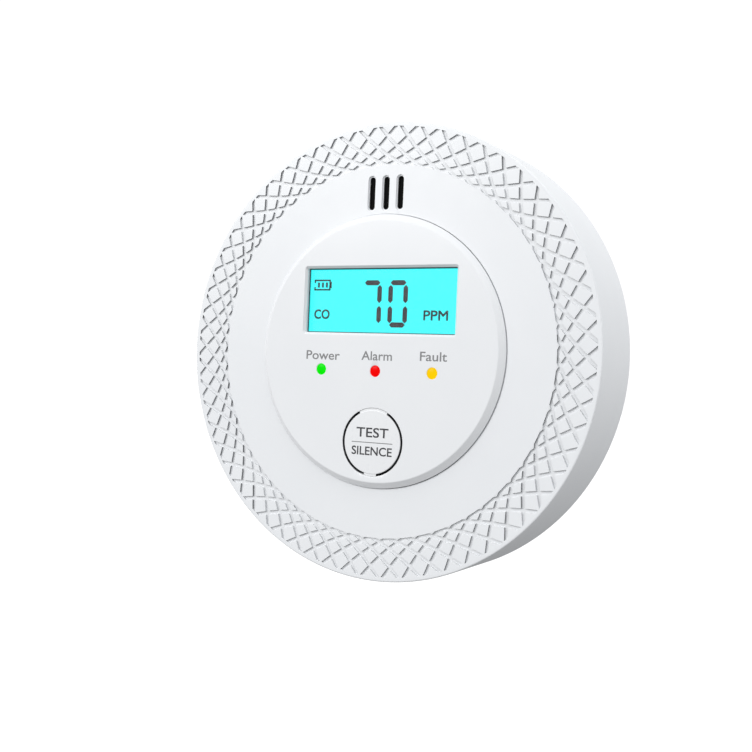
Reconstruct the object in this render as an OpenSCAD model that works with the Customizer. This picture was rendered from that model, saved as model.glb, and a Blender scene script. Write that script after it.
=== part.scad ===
// Wall-mounted round carbon monoxide detector with a display, three lamps and a test button.
//
// Every part is drawn in the detector's own stack frame: x to the right, y up, z out of the
// wall towards the room, with z = 0 on the wall. facing() then stands the stack upright, so
// that in the finished model +Z is up, the face looks along -Y and the wall plane is y = 0.

/* [Case] */
// Outside diameter of the case
case_d = 89; // [88:0.5:91]
// Depth from the wall to the front of the fascia
total_depth = 28; // [28:0.5:30]
// Depth of the plain side wall, from its back edge to its front rim
side_depth = 17; // [16.5:0.5:18]
// Thickness of the side wall
side_wall = 2; // [1.8:0.1:2.2]
// Thickness of the front wall
front_wall = 2.5; // [2.4:0.1:2.6]

/* [Lattice band] */
// Number of pads in one row round the band
band_count = 60; // [48:4:60]
// Width of the grooves between the pads
groove_w = 0.75; // [0.6:0.05:0.85]
// Depth of the grooves
groove_depth = 0.4; // [0.3:0.05:0.6]

/* [Fascia] */
// Diameter of the raised round fascia at its foot
fascia_d = 53.1; // [52.5:0.1:53.5]
// Height of the fascia above the face of the case
fascia_rise = 1.3; // [1.1:0.1:1.4]
// Width of the display window
window_w = 33.8; // [32:0.2:34]
// Height of the display window
window_h = 13.6; // [12.8:0.1:13.7]
// Height of the window's centre above the middle of the face
window_y = 9.75; // [9.6:0.05:9.9]
// Diameter of each signal lamp
lamp_d = 2.2; // [1.8:0.1:2.4]
// Distance between neighbouring lamps
lamp_pitch = 12.2; // [11.8:0.1:12.6]

/* [Test button] */
// Radius of the round hole for the button
button_hole_r = 6.6; // [6.4:0.1:6.8]
// Width of the gap round the button
button_gap = 0.45; // [0.4:0.05:0.55]
// Travel of the button
button_travel = 0.4; // [0.3:0.05:0.4]

/* [Sounder slots] */
// Number of slots in front of the sounder
slot_count = 3; // [3:2:3]
// Distance between neighbouring slots
slot_pitch = 3.1; // [2.8:0.1:3.2]
// Width of each slot
slot_w = 1; // [0.8:0.1:1.2]
// Length of each slot
slot_len = 6.2; // [5.5:0.1:6.6]

/* [Batteries] */
// Diameter of a cell
cell_d = 14.5; // [14.3:0.1:14.5]
// Length of a cell, with its positive nub
cell_len = 50.5; // [50.1:0.1:50.5]

/* [Hidden] */
$fn = 96;
eps = 0.1;

// Levels of the stack, counted from the wall
rim_z = total_depth - fascia_rise;
shell_back_z = rim_z - side_depth;
front_inner_z = rim_z - front_wall;
fascia_back_z = rim_z - 1;
pcb_t = 1.6;
pcb_front_z = front_inner_z - 3.6;
pcb_back_z = pcb_front_z - pcb_t;

// Case
case_r = case_d / 2;
shell_inner_r = case_r - side_wall;
rim_chamfer = 0.25;
fascia_r = fascia_d / 2;
fascia_seat_r = fascia_r + 0.07;
fascia_top_r = fascia_r - 1.15;
shell_opening_r = fascia_r - 1.95;
boss_r = 2.9;
case_screw_ring_r = case_r - 7.6;
case_screw_angles = [20, 160, 270];
case_screw_r = 1.25;
pcb_screw_x = 24;
pcb_screw_y = -24;
pcb_screw_r = 1;

// Lattice band: two families of curved grooves cross on rings whose spacing grows outwards
band_inner_r = case_r - 8.35;
band_outer_r = case_r - 0.9;
band_first_r = case_r - 8.43;
band_step = 0.86;
band_growth = 1.34;
half_pitch = 180 / band_count;
pad_rows = [-1, 0, 1, 2, 3, 4];
pad_limit_r = case_r - rim_chamfer - 0.05;

// Fascia, display and lamps
lens_margin = 1;
lens_t = 1;
window_depth = 1.25;
window_chamfer = 0.45;
gasket_w = 0.2;
gasket_t = 0.15;
lens_front_z = total_depth - window_depth;
lens_back_z = lens_front_z - lens_t;
chamfer_z = total_depth - window_chamfer;
pocket_w = window_w + 2 * lens_margin;
pocket_h = window_h + 2 * lens_margin;
inner_window_w = window_w - 2 * window_chamfer;
inner_window_h = window_h - 2 * window_chamfer;
glass_w = window_w + 3.8;
glass_h = window_h + 3.3;
glass_t = 2.2;
glass_front_z = fascia_back_z - 0.5;
glass_back_z = glass_front_z - glass_t;
frame_wall = 1;
frame_clearance = 0.15;
frame_w = glass_w + 2 * (frame_clearance + frame_wall);
frame_h = glass_h + 2 * (frame_clearance + frame_wall);
lamp_y = -3.9;
lamp_r = lamp_d / 2;
clip_angles = [0, 62, 118, 180, 240, 300];
clip_back_z = front_inner_z - 1;
fascia_step_z = rim_z + 0.35;

// Button and its switch
button_y = -17.6;
button_r = button_hole_r - button_gap;
button_flange_r = button_hole_r + 0.8;
button_back_z = fascia_back_z - 0.75;
switch_h = 3.4;
plunger_r = 1.7;
plunger_clearance = 0.05;
plunger_back_z = pcb_front_z + 1.4;

// Sounder, behind the slots
slot_y = 30.7;
sounder_r = 10.4;
sounder_front_z = front_inner_z - 0.3;
sounder_back_z = sounder_front_z - 7.5;
sounder_wall = 1;
piezo_r = sounder_r - sounder_wall - 0.1;
piezo_z = sounder_back_z + 2.8;
lead_x = 3;
lead_y = 7;
mesh_r = 5.8;
mesh_t = 0.3;
mesh_clear = 0.5;
mesh_front_z = rim_z - 0.75;

// Rear cover, battery box and door
cover_t = 1.8;
cover_r = shell_inner_r - 0.1;
cover_inner_z = shell_back_z + cover_t;
skirt_outer_r = 41.2;
skirt_inner_r = 39.4;
skirt_back_z = 2.6;
cell_r = cell_d / 2;
cell_gap = 0.2;
box_clear_y = 0.35;
contact_t = 0.4;
contact_tab_y = 5;
spring_space = 2.5;
box_half_x = (cell_len + spring_space) / 2 + contact_t;
box_half_y = cell_d + cell_gap / 2 + box_clear_y;
box_wall = 1.4;
box_back_z = 0.8;
door_back_z = 1.1;
door_t = 1.5;
door_gap = 0.3;
cell_z = door_back_z + door_t + 0.35 + cell_r;
box_floor_z = cell_z + cell_r + 0.05;
box_front_z = box_floor_z + 1;
hinge_y = -box_half_y + 1;
hinge_z = door_back_z + door_t / 2;
hinge_pin_r = 0.6;
hinge_clearance = 0.05;
hinge_pin_len = 1.2;

// Bracket and its bayonet
bracket_outer_r = 41;
bracket_inner_r = 34;
bracket_t = 2.4;
wall_screw_x = 37.5;
wall_screw_hole_r = 2.2;
wall_screw_head_r = 3.3;
lug_angles = [90, 210, 330];
lug_span = 16;
ledge_span = 24;
tongue_back_z = 5.3;
tongue_front_z = 6.9;
ledge_back_z = 3.4;
ledge_front_z = tongue_back_z - 0.1;
stop_front_z = tongue_front_z + 1.5;
stop_turn = lug_span / 2 + 2.1;

// Parts on the circuit board
pcb_r = case_r - 5.5;
sensor_x = 20.5;
sensor_y = 25.5;
sensor_r = 7;
sensor_h = 6;
capacitor_x = -9;
coil_x = 8;
hanging_y = -27;

WHITE = [0.95, 0.96, 0.97];
OFF_WHITE = [0.88, 0.89, 0.9];
TIN = [0.75, 0.76, 0.78];
BLACK = [0.08, 0.08, 0.09];

// ---------- helpers ----------

// Stands the stack upright: stack x, y, z become model x, z, -y
module facing() rotate([90, 0, 0]) children();

// A round plate of radius r between two levels
module disc(r, z0, z1) translate([0, 0, z0]) cylinder(h = z1 - z0, r = r);

// A ring between two radii and two levels
module ring(r_out, r_in, z0, z1) difference() {
    disc(r_out, z0, z1);
    disc(r_in, z0 - eps, z1 + eps);
}

// A rectangular block about a centre, between two levels
module block(x, y, w, h, z0, z1) translate([x - w / 2, y - h / 2, z0]) cube([w, h, z1 - z0]);

// A piece of a ring about the stack's axis, centred on the angle mid
module arc_band(r_in, r_out, z0, z1, mid, span)
    rotate([0, 0, mid - span / 2])
        rotate_extrude(angle = span)
            translate([r_in, z0])
                square([r_out - r_in, z1 - z0]);

// A slot with round ends, upright, through the given levels
module upright_slot(x, y, w, len, z0, z1) {
    straight = len - w;
    block(x, y, w, straight, z0, z1);
    for (side = [-1, 1])
        translate([x, y + side * straight / 2, 0]) disc(w / 2, z0, z1);
}

// A round plate behind the slots, cut off some way outside the fascia's seat
module slot_disc(r, clear, z0, z1) difference() {
    translate([0, slot_y, 0]) disc(r, z0, z1);
    disc(fascia_seat_r + clear, z0 - eps, z1 + eps);
}

// Copies its children onto the case-screw places
module at_case_screws()
    for (a = case_screw_angles)
        rotate([0, 0, a]) translate([case_screw_ring_r, 0, 0]) children();

// Copies its children onto the circuit-board screw places
module at_pcb_screws()
    for (side = [-1, 1])
        translate([side * pcb_screw_x, pcb_screw_y, 0]) children();

// ---------- lattice band ----------

// Radius of the n-th ring on which the grooves cross
function cross_r(n) = band_first_r + band_step * (pow(band_growth, n) - 1) / (band_growth - 1);

// Angle between a groove and the circle it crosses on the n-th ring
function groove_slope(n) =
    atan((cross_r(n + 1) - cross_r(n - 1)) / (2 * half_pitch * PI / 180 * cross_r(n)));

// Half of the gap that the grooves leave on the n-th ring, along the radius
function radial_gap(n) = groove_w / 2 / cos(groove_slope(n));

// Half of the gap that the grooves leave on the n-th ring, as an angle round the face
function angular_gap(n) = groove_w / 2 / sin(groove_slope(n)) / cross_r(n) * 180 / PI;

// A point of the face, by its radius and its angle clockwise from the top
function on_face(r, a) = [r * sin(a), r * cos(a)];

// One diamond pad, which lies between the n-th and the (n + 2)-th crossing
module pad(n) {
    side_a = half_pitch - angular_gap(n + 1);
    side_r = min(cross_r(n + 1), pad_limit_r);
    inner_r = max(cross_r(n) + radial_gap(n), band_inner_r - 0.6);
    outer_r = min(cross_r(n + 2) - radial_gap(n + 2), pad_limit_r);
    polygon([
        on_face(inner_r, 0),
        on_face(side_r, side_a),
        on_face(outer_r, 0),
        on_face(side_r, -side_a)
    ]);
}

// Every pad of the band, standing on the floor of the grooves
module lattice_pads()
    translate([0, 0, rim_z - groove_depth - eps])
        linear_extrude(height = groove_depth + eps)
            for (n = pad_rows)
                for (k = [0 : band_count - 1])
                    rotate([0, 0, half_pitch * (2 * k + abs(n) % 2)]) pad(n);

// ---------- case ----------

// Section of the front shell, from its back edge round the rim to the fascia seat
module front_shell_section()
    polygon([
        [case_r, shell_back_z],
        [case_r, rim_z - rim_chamfer],
        [case_r - rim_chamfer, rim_z],
        [band_outer_r, rim_z],
        [band_outer_r, rim_z - groove_depth],
        [band_inner_r, rim_z - groove_depth],
        [band_inner_r, rim_z],
        [fascia_seat_r, rim_z],
        [fascia_seat_r, fascia_back_z],
        [shell_opening_r, fascia_back_z],
        [shell_opening_r, front_inner_z],
        [shell_inner_r, front_inner_z],
        [shell_inner_r, shell_back_z]
    ]);

module front_shell() color(WHITE) facing() difference() {
    union() {
        rotate_extrude() front_shell_section();
        lattice_pads();
        // posts for the case screws and the circuit board
        at_case_screws() disc(boss_r, cover_inner_z, front_inner_z + eps);
        at_pcb_screws() disc(2.4, pcb_front_z, front_inner_z + eps);
        // wall that locates the sounder
        translate([0, slot_y, 0])
            ring(sounder_r + 1.1, sounder_r + 0.1, sounder_front_z - 2.4, front_inner_z + eps);
    }
    for (i = [0 : slot_count - 1]) {
        x = (i - (slot_count - 1) / 2) * slot_pitch;
        upright_slot(x, slot_y, slot_w, slot_len, front_inner_z - eps, rim_z + eps);
        upright_slot(x, slot_y, slot_w + 0.6, slot_len + 0.6, rim_z - 0.35, rim_z + eps);
    }
    // thin wall behind the slots, for the dust mesh
    slot_disc(mesh_r + 0.1, mesh_clear - 0.1, front_inner_z - eps, mesh_front_z);
    at_case_screws() disc(case_screw_r + 0.02, cover_inner_z - eps, cover_inner_z + 8);
    at_pcb_screws() disc(pcb_screw_r + 0.02, pcb_front_z - eps, pcb_front_z + 3);
    // pocket behind the front wall for the display frame
    block(0, window_y, frame_w + 0.3, frame_h + 0.3, pcb_front_z, fascia_back_z);
}

module fascia_panel() color(WHITE) facing() difference() {
    union() {
        disc(fascia_r, fascia_back_z, fascia_step_z);
        translate([0, 0, fascia_step_z])
            cylinder(h = total_depth - fascia_step_z, r1 = fascia_r, r2 = fascia_top_r);
        // snap clips that grip behind the shell's opening
        for (a = clip_angles) {
            arc_band(shell_opening_r - 1.2, shell_opening_r - 0.1, clip_back_z, fascia_back_z + eps, a, 10);
            arc_band(shell_opening_r - 0.3, shell_opening_r + 0.5, clip_back_z, front_inner_z - 0.05, a, 10);
        }
    }
    // window, with a chamfer round its front
    block(0, window_y, inner_window_w, inner_window_h, fascia_back_z - eps, total_depth + eps);
    hull() {
        block(0, window_y, inner_window_w, inner_window_h, chamfer_z - window_chamfer, chamfer_z);
        block(0, window_y, window_w + 2 * eps, window_h + 2 * eps, total_depth + eps, total_depth + 2 * eps);
    }
    block(0, window_y, pocket_w, pocket_h, fascia_back_z - eps, lens_front_z);
    for (i = [-1 : 1])
        translate([i * lamp_pitch, lamp_y, 0]) disc(lamp_r + 0.03, fascia_back_z - eps, total_depth + eps);
    translate([0, button_y, 0]) disc(button_hole_r, fascia_back_z - eps, total_depth + eps);
}

module rear_cover() color(OFF_WHITE) facing() difference() {
    union() {
        rotate_extrude() polygon([
            [0, shell_back_z],
            [skirt_inner_r, shell_back_z],
            [skirt_inner_r, skirt_back_z],
            [skirt_outer_r, skirt_back_z],
            [skirt_outer_r, shell_back_z],
            [cover_r, shell_back_z],
            [cover_r, cover_inner_z],
            [0, cover_inner_z]
        ]);
        // battery box
        block(0, 0, 2 * (box_half_x + box_wall), 2 * (box_half_y + box_wall), box_back_z, box_front_z);
        // ledges and stops of the bayonet
        for (a = lug_angles) {
            arc_band(38, skirt_inner_r + 0.4, ledge_back_z, ledge_front_z, a, ledge_span);
            arc_band(38.2, skirt_inner_r + 0.4, ledge_front_z - eps, stop_front_z, a + stop_turn, 3);
        }
    }
    // space for the cells and the door, with a rim all round for the door
    block(0, 0, 2 * box_half_x, 2 * box_half_y, box_back_z - eps, box_floor_z);
    // notches for a finger nail and the door's snap
    block(0, box_half_y + 0.8, 10.6, 1.7, box_back_z - eps, door_back_z + door_t + 0.3);
    // holes for the door's pins
    for (side = [-1, 1])
        translate([side * (box_half_x + box_wall / 2), hinge_y, hinge_z])
            rotate([0, 90, 0])
                cylinder(h = box_wall + 2 * eps, r = hinge_pin_r + hinge_clearance, center = true);
    // slits for the contacts' solder tabs: one at the linked end and two at the other
    for (tab = [[-1, contact_tab_y], [1, contact_tab_y], [1, -contact_tab_y]])
        block(tab[0] * (box_half_x - 0.3), tab[1], 0.6, 3.4, box_floor_z - eps, box_front_z + eps);
    // holes and seats for the case screws
    at_case_screws() {
        disc(case_screw_r + 0.15, shell_back_z - eps, cover_inner_z + eps);
        disc(2.4, shell_back_z - eps, shell_back_z + 0.9);
    }
    // air slits through the skirt
    for (a = [30, 150, 270])
        for (i = [-2 : 2])
            rotate([0, 0, a + 6 * i])
                block(skirt_outer_r, 0, 6, 2, 3.6, shell_back_z - 1);
    // air slits in front of the gas sensor
    for (i = [-2 : 2])
        block(sensor_x + 2.4 * i, sensor_y, 1.2, 7, shell_back_z - eps, cover_inner_z + eps);
}

// ---------- display ----------

module display_lens() color([0.75, 0.9, 0.95, 0.35]) facing()
    block(0, window_y, pocket_w - 0.1, pocket_h - 0.1, lens_back_z, lens_front_z);

// Thin dark seal in the corner between the window's walls and the lens
module lens_gasket() color([0.05, 0.25, 0.28]) facing() difference() {
    block(0, window_y, inner_window_w, inner_window_h, lens_front_z, lens_front_z + gasket_t);
    opening_w = inner_window_w - 2 * gasket_w;
    opening_h = inner_window_h - 2 * gasket_w;
    block(0, window_y, opening_w, opening_h, lens_front_z - eps, lens_front_z + gasket_t + eps);
}

module lcd_glass() color([0.31, 1, 1]) facing()
    block(0, window_y, glass_w, glass_h, glass_back_z, glass_front_z);

module lcd_backlight() color([0.85, 0.95, 0.95]) facing() union() {
    block(0, window_y, window_w + 2, window_h - 1.6, pcb_front_z + 0.05, glass_back_z - 0.05);
    block(window_w / 2 + 1.2, window_y, 0.9, 5, pcb_front_z + 0.05, pcb_front_z + 1);
}

module lcd_frame() color([0.9, 0.9, 0.88]) facing() difference() {
    cavity_w = glass_w + 2 * frame_clearance;
    cavity_h = glass_h + 2 * frame_clearance;
    block(0, window_y, frame_w, frame_h, pcb_front_z, fascia_back_z - 0.05);
    block(0, window_y, cavity_w, cavity_h, pcb_front_z - eps, glass_front_z + 0.05);
    block(0, window_y, window_w + 2.4, window_h + 2.4, glass_front_z, fascia_back_z);
}

module zebra_strips() color([0.85, 0.35, 0.4]) facing()
    for (side = [-1, 1])
        block(0, window_y + side * (glass_h / 2 - 1.1), glass_w - 1, 1.8, pcb_front_z, glass_back_z);

// ---------- lamps ----------

// Clear rod that carries one lamp's light to the face, with a collar behind the fascia
module light_pipe(i) translate([i * lamp_pitch, lamp_y, 0]) {
    disc(lamp_r, pcb_front_z + 2.1, total_depth - 0.05);
    disc(lamp_r + 0.8, fascia_back_z - 1.1, fascia_back_z);
}

module light_pipe_power() color([0.1, 0.95, 0.15]) facing() light_pipe(-1);

module light_pipe_alarm() color([0.95, 0.05, 0.05]) facing() light_pipe(0);

module light_pipe_fault() color([1, 0.8, 0.05]) facing() light_pipe(1);

// Surface-mounted lamp: a body with a round lens and a soldered end cap on each side
module led(i) translate([i * lamp_pitch, lamp_y, 0]) union() {
    block(0, 0, 2.6, 2, pcb_front_z, pcb_front_z + 1.2);
    disc(0.8, pcb_front_z + 1, pcb_front_z + 1.9);
    for (side = [-1, 1])
        block(side * 1.45, 0, 0.5, 1.6, pcb_front_z, pcb_front_z + 0.5);
}

module led_power() color([0.7, 0.95, 0.7]) facing() led(-1);

module led_alarm() color([0.95, 0.7, 0.7]) facing() led(0);

module led_fault() color([0.98, 0.9, 0.65]) facing() led(1);

// ---------- test button ----------

module test_button() color(WHITE) facing() translate([0, button_y, 0]) union() {
    disc(button_r, button_back_z, total_depth);
    // flange behind the fascia, trimmed to pass the edge of the shell's opening
    intersection() {
        disc(button_flange_r, button_back_z, fascia_back_z - 0.05);
        translate([0, -button_y, 0]) disc(shell_opening_r - 0.2, button_back_z - eps, fascia_back_z);
    }
    // guide pads that fill the gap above and below
    arc_band(button_r - 0.2, button_hole_r - 0.05, button_back_z, total_depth - 0.1, 90, 56);
    arc_band(button_r - 0.2, button_hole_r - 0.05, button_back_z, total_depth - 0.1, 268, 24);
}

module switch_body() color(BLACK) facing() translate([0, button_y, 0]) difference() {
    union() {
        block(0, 0, 6, 6, pcb_front_z, pcb_front_z + switch_h);
        for (sx = [-1, 1])
            for (sy = [-1, 1])
                block(sx * 3.4, sy * 2.2, 1.2, 0.8, pcb_front_z, pcb_front_z + 0.4);
    }
    disc(plunger_r + plunger_clearance, plunger_back_z - button_travel - 0.2, pcb_front_z + switch_h + eps);
}

module switch_plunger() color([0.55, 0.12, 0.1]) facing() translate([0, button_y, 0])
    disc(plunger_r, plunger_back_z, button_back_z);

// ---------- circuit board ----------

module main_pcb() color([0.05, 0.35, 0.2]) facing() difference() {
    disc(pcb_r, pcb_back_z, pcb_front_z);
    translate([0, slot_y, 0]) disc(sounder_r + 0.6, pcb_back_z - eps, pcb_front_z + eps);
    // leaves the board open above the sounder
    block(0, pcb_r + 1, 14, 10, pcb_back_z - eps, pcb_front_z + eps);
    at_case_screws() disc(boss_r + 0.5, pcb_back_z - eps, pcb_front_z + eps);
    at_pcb_screws() disc(pcb_screw_r + 0.1, pcb_back_z - eps, pcb_front_z + eps);
}

module microcontroller() color(BLACK) facing() translate([-14, -14.5, 0]) union() {
    lead_count = 8;
    lead_pitch = 0.8;
    block(0, 0, 7, 7, pcb_front_z + 0.1, pcb_front_z + 1.5);
    for (turn = [0 : 3])
        rotate([0, 0, 90 * turn])
            for (i = [0 : lead_count - 1])
                block((i - (lead_count - 1) / 2) * lead_pitch, 4, 0.35, 1.2, pcb_front_z, pcb_front_z + 0.4);
}

// One chip resistor or capacitor
module chip(x, y, turn) translate([x, y, 0]) rotate([0, 0, turn])
    block(0, 0, 2, 1.25, pcb_front_z, pcb_front_z + 0.6);

module small_components() color([0.72, 0.62, 0.45]) facing() {
    // resistors beside the lamps
    for (i = [-1 : 1])
        chip(i * lamp_pitch + 4, lamp_y - 1, 90);
    // a row beside the display
    for (i = [0 : 3])
        chip(25, 4 + 3 * i, 0);
    // a row beside the microcontroller
    for (i = [0 : 3])
        chip(-24, -14 + 3 * i, 0);
    // the sounder's driver, to the right of the button
    block(14, -14, 3, 3, pcb_front_z, pcb_front_z + 1);
    chip(18, -14, 90);
    chip(14, -18, 0);
}

module reservoir_capacitor() color([0.12, 0.14, 0.3]) facing()
    translate([capacitor_x, hanging_y, 0]) union() {
        disc(3.15, pcb_back_z - 7, pcb_back_z - 0.3);
        disc(2.9, pcb_back_z - 0.4, pcb_back_z);
    }

module boost_coil() color([0.2, 0.2, 0.22]) facing() translate([coil_x, hanging_y, 0]) union() {
    disc(4.4, pcb_back_z - 6, pcb_back_z - 5);
    disc(3.4, pcb_back_z - 5.2, pcb_back_z - 0.8);
    disc(4.4, pcb_back_z - 1, pcb_back_z);
}

module co_sensor() color([0.8, 0.8, 0.78]) facing() translate([sensor_x, sensor_y, 0]) difference() {
    union() {
        disc(sensor_r, pcb_back_z - sensor_h + 0.5, pcb_back_z);
        disc(sensor_r - 0.5, pcb_back_z - sensor_h, pcb_back_z);
    }
    disc(1.5, pcb_back_z - sensor_h - eps, pcb_back_z - sensor_h + 0.6);
}

module sensor_filter() color([0.3, 0.3, 0.32]) facing() translate([sensor_x, sensor_y, 0])
    disc(4, pcb_back_z - sensor_h - 0.5, pcb_back_z - sensor_h);

// ---------- sounder ----------

module sounder_housing() color([0.15, 0.15, 0.16]) facing() translate([0, slot_y, 0]) difference() {
    disc(sounder_r, sounder_back_z, sounder_front_z);
    // front chamber over the disc, then the narrower chamber behind it
    disc(sounder_r - sounder_wall, piezo_z, sounder_front_z - 1);
    disc(sounder_r - sounder_wall - 1, sounder_back_z + 0.8, piezo_z + eps);
    disc(4.8, sounder_front_z - 1 - eps, sounder_front_z + eps);
    for (side = [-1, 1])
        translate([side * lead_x, -lead_y, 0]) disc(0.6, sounder_back_z - eps, sounder_back_z + 0.8 + eps);
}

module piezo_disc() color([0.85, 0.7, 0.35]) facing() translate([0, slot_y, 0]) union() {
    disc(piezo_r, piezo_z, piezo_z + 0.2);
    disc(piezo_r * 0.7, piezo_z + 0.1, piezo_z + 0.45);
}

// One insulated lead: out of the sounder's back, down past its wall and up to the board
module sounder_lead(x) {
    lead_r = 0.5;
    start_y = slot_y - lead_y;
    end_y = slot_y - 12.4;
    low_z = sounder_back_z - 0.9;
    translate([x, start_y, 0]) disc(lead_r, low_z, piezo_z);
    translate([x, start_y, low_z]) sphere(r = lead_r, $fn = 48);
    translate([x, end_y, low_z]) rotate([-90, 0, 0]) cylinder(h = start_y - end_y, r = lead_r);
    translate([x, end_y, low_z]) sphere(r = lead_r, $fn = 48);
    translate([x, end_y, 0]) disc(lead_r, low_z, pcb_back_z);
}

module sounder_leads() color([0.7, 0.1, 0.1]) facing()
    for (side = [-1, 1])
        sounder_lead(lead_x * side);

// Mesh close behind the slots, on a spacer ring that stands on the sounder
module dust_mesh() color([0.05, 0.05, 0.05]) facing() union() {
    slot_disc(mesh_r, mesh_clear, mesh_front_z - mesh_t, mesh_front_z);
    difference() {
        slot_disc(mesh_r, mesh_clear, sounder_front_z, mesh_front_z - mesh_t + 0.05);
        translate([0, slot_y, 0]) disc(mesh_r - 0.6, sounder_front_z - eps, mesh_front_z);
    }
}

// ---------- batteries ----------

// A cell lying along x, with its positive end towards +x and its nub's end at x = 0
module cell() rotate([0, 90, 0]) translate([0, 0, -cell_len]) union() {
    cylinder(h = cell_len - 1, r = cell_r);
    cylinder(h = cell_len, r = 2.75);
}

module battery_upper() color([0.15, 0.45, 0.3]) facing()
    translate([box_half_x - contact_t, cell_r + cell_gap / 2, cell_z]) cell();

module battery_lower() color([0.15, 0.45, 0.3]) facing()
    translate([-box_half_x + contact_t, -cell_r - cell_gap / 2, cell_z]) mirror([1, 0, 0]) cell();

// A flat contact on an end wall, with a solder tab that reaches the board
module contact_plate(side, y, w, tab_y) union() {
    x = side * (box_half_x - contact_t / 2);
    block(x, y, contact_t, w, cell_z - 6, box_floor_z);
    block(x, tab_y, contact_t, 3, box_floor_z - 1, pcb_back_z);
}

module contact_link() color(TIN) facing() contact_plate(-1, 0, 27, contact_tab_y);

module contact_positive() color(TIN) facing() contact_plate(1, cell_r + 0.3, 12.5, contact_tab_y);

module contact_negative() color(TIN) facing() contact_plate(1, -cell_r - 0.3, 12.5, -contact_tab_y);

// Conical coil of round wire, from a wide turn at z = 0 to a narrow one at z = height
module cone_coil(height, wide_r, narrow_r, wire_r, turns) {
    steps_per_turn = 20;
    sides = 6;
    steps = turns * steps_per_turn;
    function centre_r(i) = wide_r + (narrow_r - wide_r) * i / steps;
    function centre_z(i) = wire_r + (height - 2 * wire_r) * i / steps;
    points = [
        for (i = [0 : steps])
            for (s = [0 : sides - 1])
                let (a = 360 * i / steps_per_turn, b = 360 * s / sides)
                    let (r = centre_r(i) + wire_r * cos(b))
                        [r * cos(a), r * sin(a), centre_z(i) + wire_r * sin(b)]
    ];
    walls = [
        for (i = [0 : steps - 1])
            for (s = [0 : sides - 1])
                let (t = (s + 1) % sides)
                    [i * sides + s, i * sides + t, (i + 1) * sides + t, (i + 1) * sides + s]
    ];
    start_cap = [[for (s = [0 : sides - 1]) sides - 1 - s]];
    end_cap = [[for (s = [0 : sides - 1]) steps * sides + s]];
    polyhedron(points = points, faces = concat(start_cap, walls, end_cap), convexity = 6);
}

// The spring behind one cell's flat end: it stands on the contact at that end of the box
module battery_spring(side)
    translate([-side * (box_half_x - contact_t), side * (cell_r + cell_gap / 2), cell_z])
        rotate([0, side * 90, 0])
            cone_coil(spring_space, 5.2, 2.8, 0.25, 3);

module battery_spring_upper() color(TIN) facing() battery_spring(1);

module battery_spring_lower() color(TIN) facing() battery_spring(-1);

module battery_door() color(OFF_WHITE) facing() {
    door_half_x = box_half_x - door_gap;
    door_top_y = box_half_y - door_gap;
    door_mid_y = (door_top_y + hinge_y) / 2;
    difference() {
        union() {
            block(0, door_mid_y, 2 * door_half_x, door_top_y - hinge_y, door_back_z, door_back_z + door_t);
            // rounded hinge edge and its two pins
            translate([0, hinge_y, hinge_z]) rotate([0, 90, 0]) {
                cylinder(h = 2 * door_half_x, r = door_t / 2, center = true);
                cylinder(h = 2 * (door_half_x + hinge_pin_len), r = hinge_pin_r, center = true);
            }
            // snap tongue in the box's notch
            block(0, door_top_y + 0.5, 10, 1.4, door_back_z + 0.6, door_back_z + door_t);
        }
        // grip grooves
        for (i = [0 : 3])
            block(0, door_top_y - 3 - 1.6 * i, 14, 0.8, door_back_z - eps, door_back_z + 0.4);
    }
}

// ---------- fasteners ----------

// A self-tapping screw driven towards the front, its head's back at z = 0
module screw(head_r, head_h, shank_r, len) difference() {
    union() {
        disc(head_r, 0, head_h);
        disc(shank_r, 0, len);
    }
    // cross recess
    for (turn = [0, 90])
        rotate([0, 0, turn]) block(0, 0, head_r * 1.2, 0.5, -eps, head_h * 0.55);
}

module case_screws() color(TIN) facing()
    at_case_screws() translate([0, 0, shell_back_z]) screw(2.2, 0.9, case_screw_r, 8.4);

module pcb_screws() color(TIN) facing()
    at_pcb_screws() translate([0, 0, pcb_back_z - 1]) screw(1.9, 1, pcb_screw_r, 5);

// ---------- bracket ----------

module mounting_bracket() color(WHITE) facing() difference() {
    union() {
        ring(bracket_outer_r, bracket_inner_r, 0, bracket_t);
        for (a = lug_angles) {
            arc_band(35.8, 37.6, bracket_t - eps, tongue_front_z, a, lug_span);
            arc_band(37.4, skirt_inner_r - 0.1, tongue_back_z, tongue_front_z, a, lug_span);
        }
    }
    for (side = [-1, 1])
        translate([side * wall_screw_x, 0, 0]) {
            disc(wall_screw_hole_r, -eps, bracket_t + eps);
            translate([0, 0, bracket_t - 1.1])
                cylinder(h = 1.1 + eps, r1 = wall_screw_hole_r, r2 = wall_screw_head_r);
        }
}

mounting_bracket();
rear_cover();
front_shell();
fascia_panel();
display_lens();
lens_gasket();
lcd_glass();
lcd_backlight();
lcd_frame();
zebra_strips();
light_pipe_power();
light_pipe_alarm();
light_pipe_fault();
led_power();
led_alarm();
led_fault();
test_button();
switch_body();
switch_plunger();
main_pcb();
microcontroller();
small_components();
reservoir_capacitor();
boost_coil();
co_sensor();
sensor_filter();
sounder_housing();
piezo_disc();
sounder_leads();
dust_mesh();
battery_upper();
battery_lower();
contact_link();
contact_positive();
contact_negative();
battery_spring_upper();
battery_spring_lower();
battery_door();
case_screws();
pcb_screws();
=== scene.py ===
"""Visual model of a round wall-mounted carbon monoxide detector, built round its fixed frame.

Sizes are millimetres in the detector's own stack frame: x to the right, y up and z out of the
wall towards the room. to_model() turns them into the scene's metres, where the face looks
along -Y and the wall plane is y = 0.
"""

import logging
import math
from collections.abc import Callable
from dataclasses import dataclass, field
from enum import Enum

import bmesh
import bpy
from mathutils import Matrix, Vector


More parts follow.
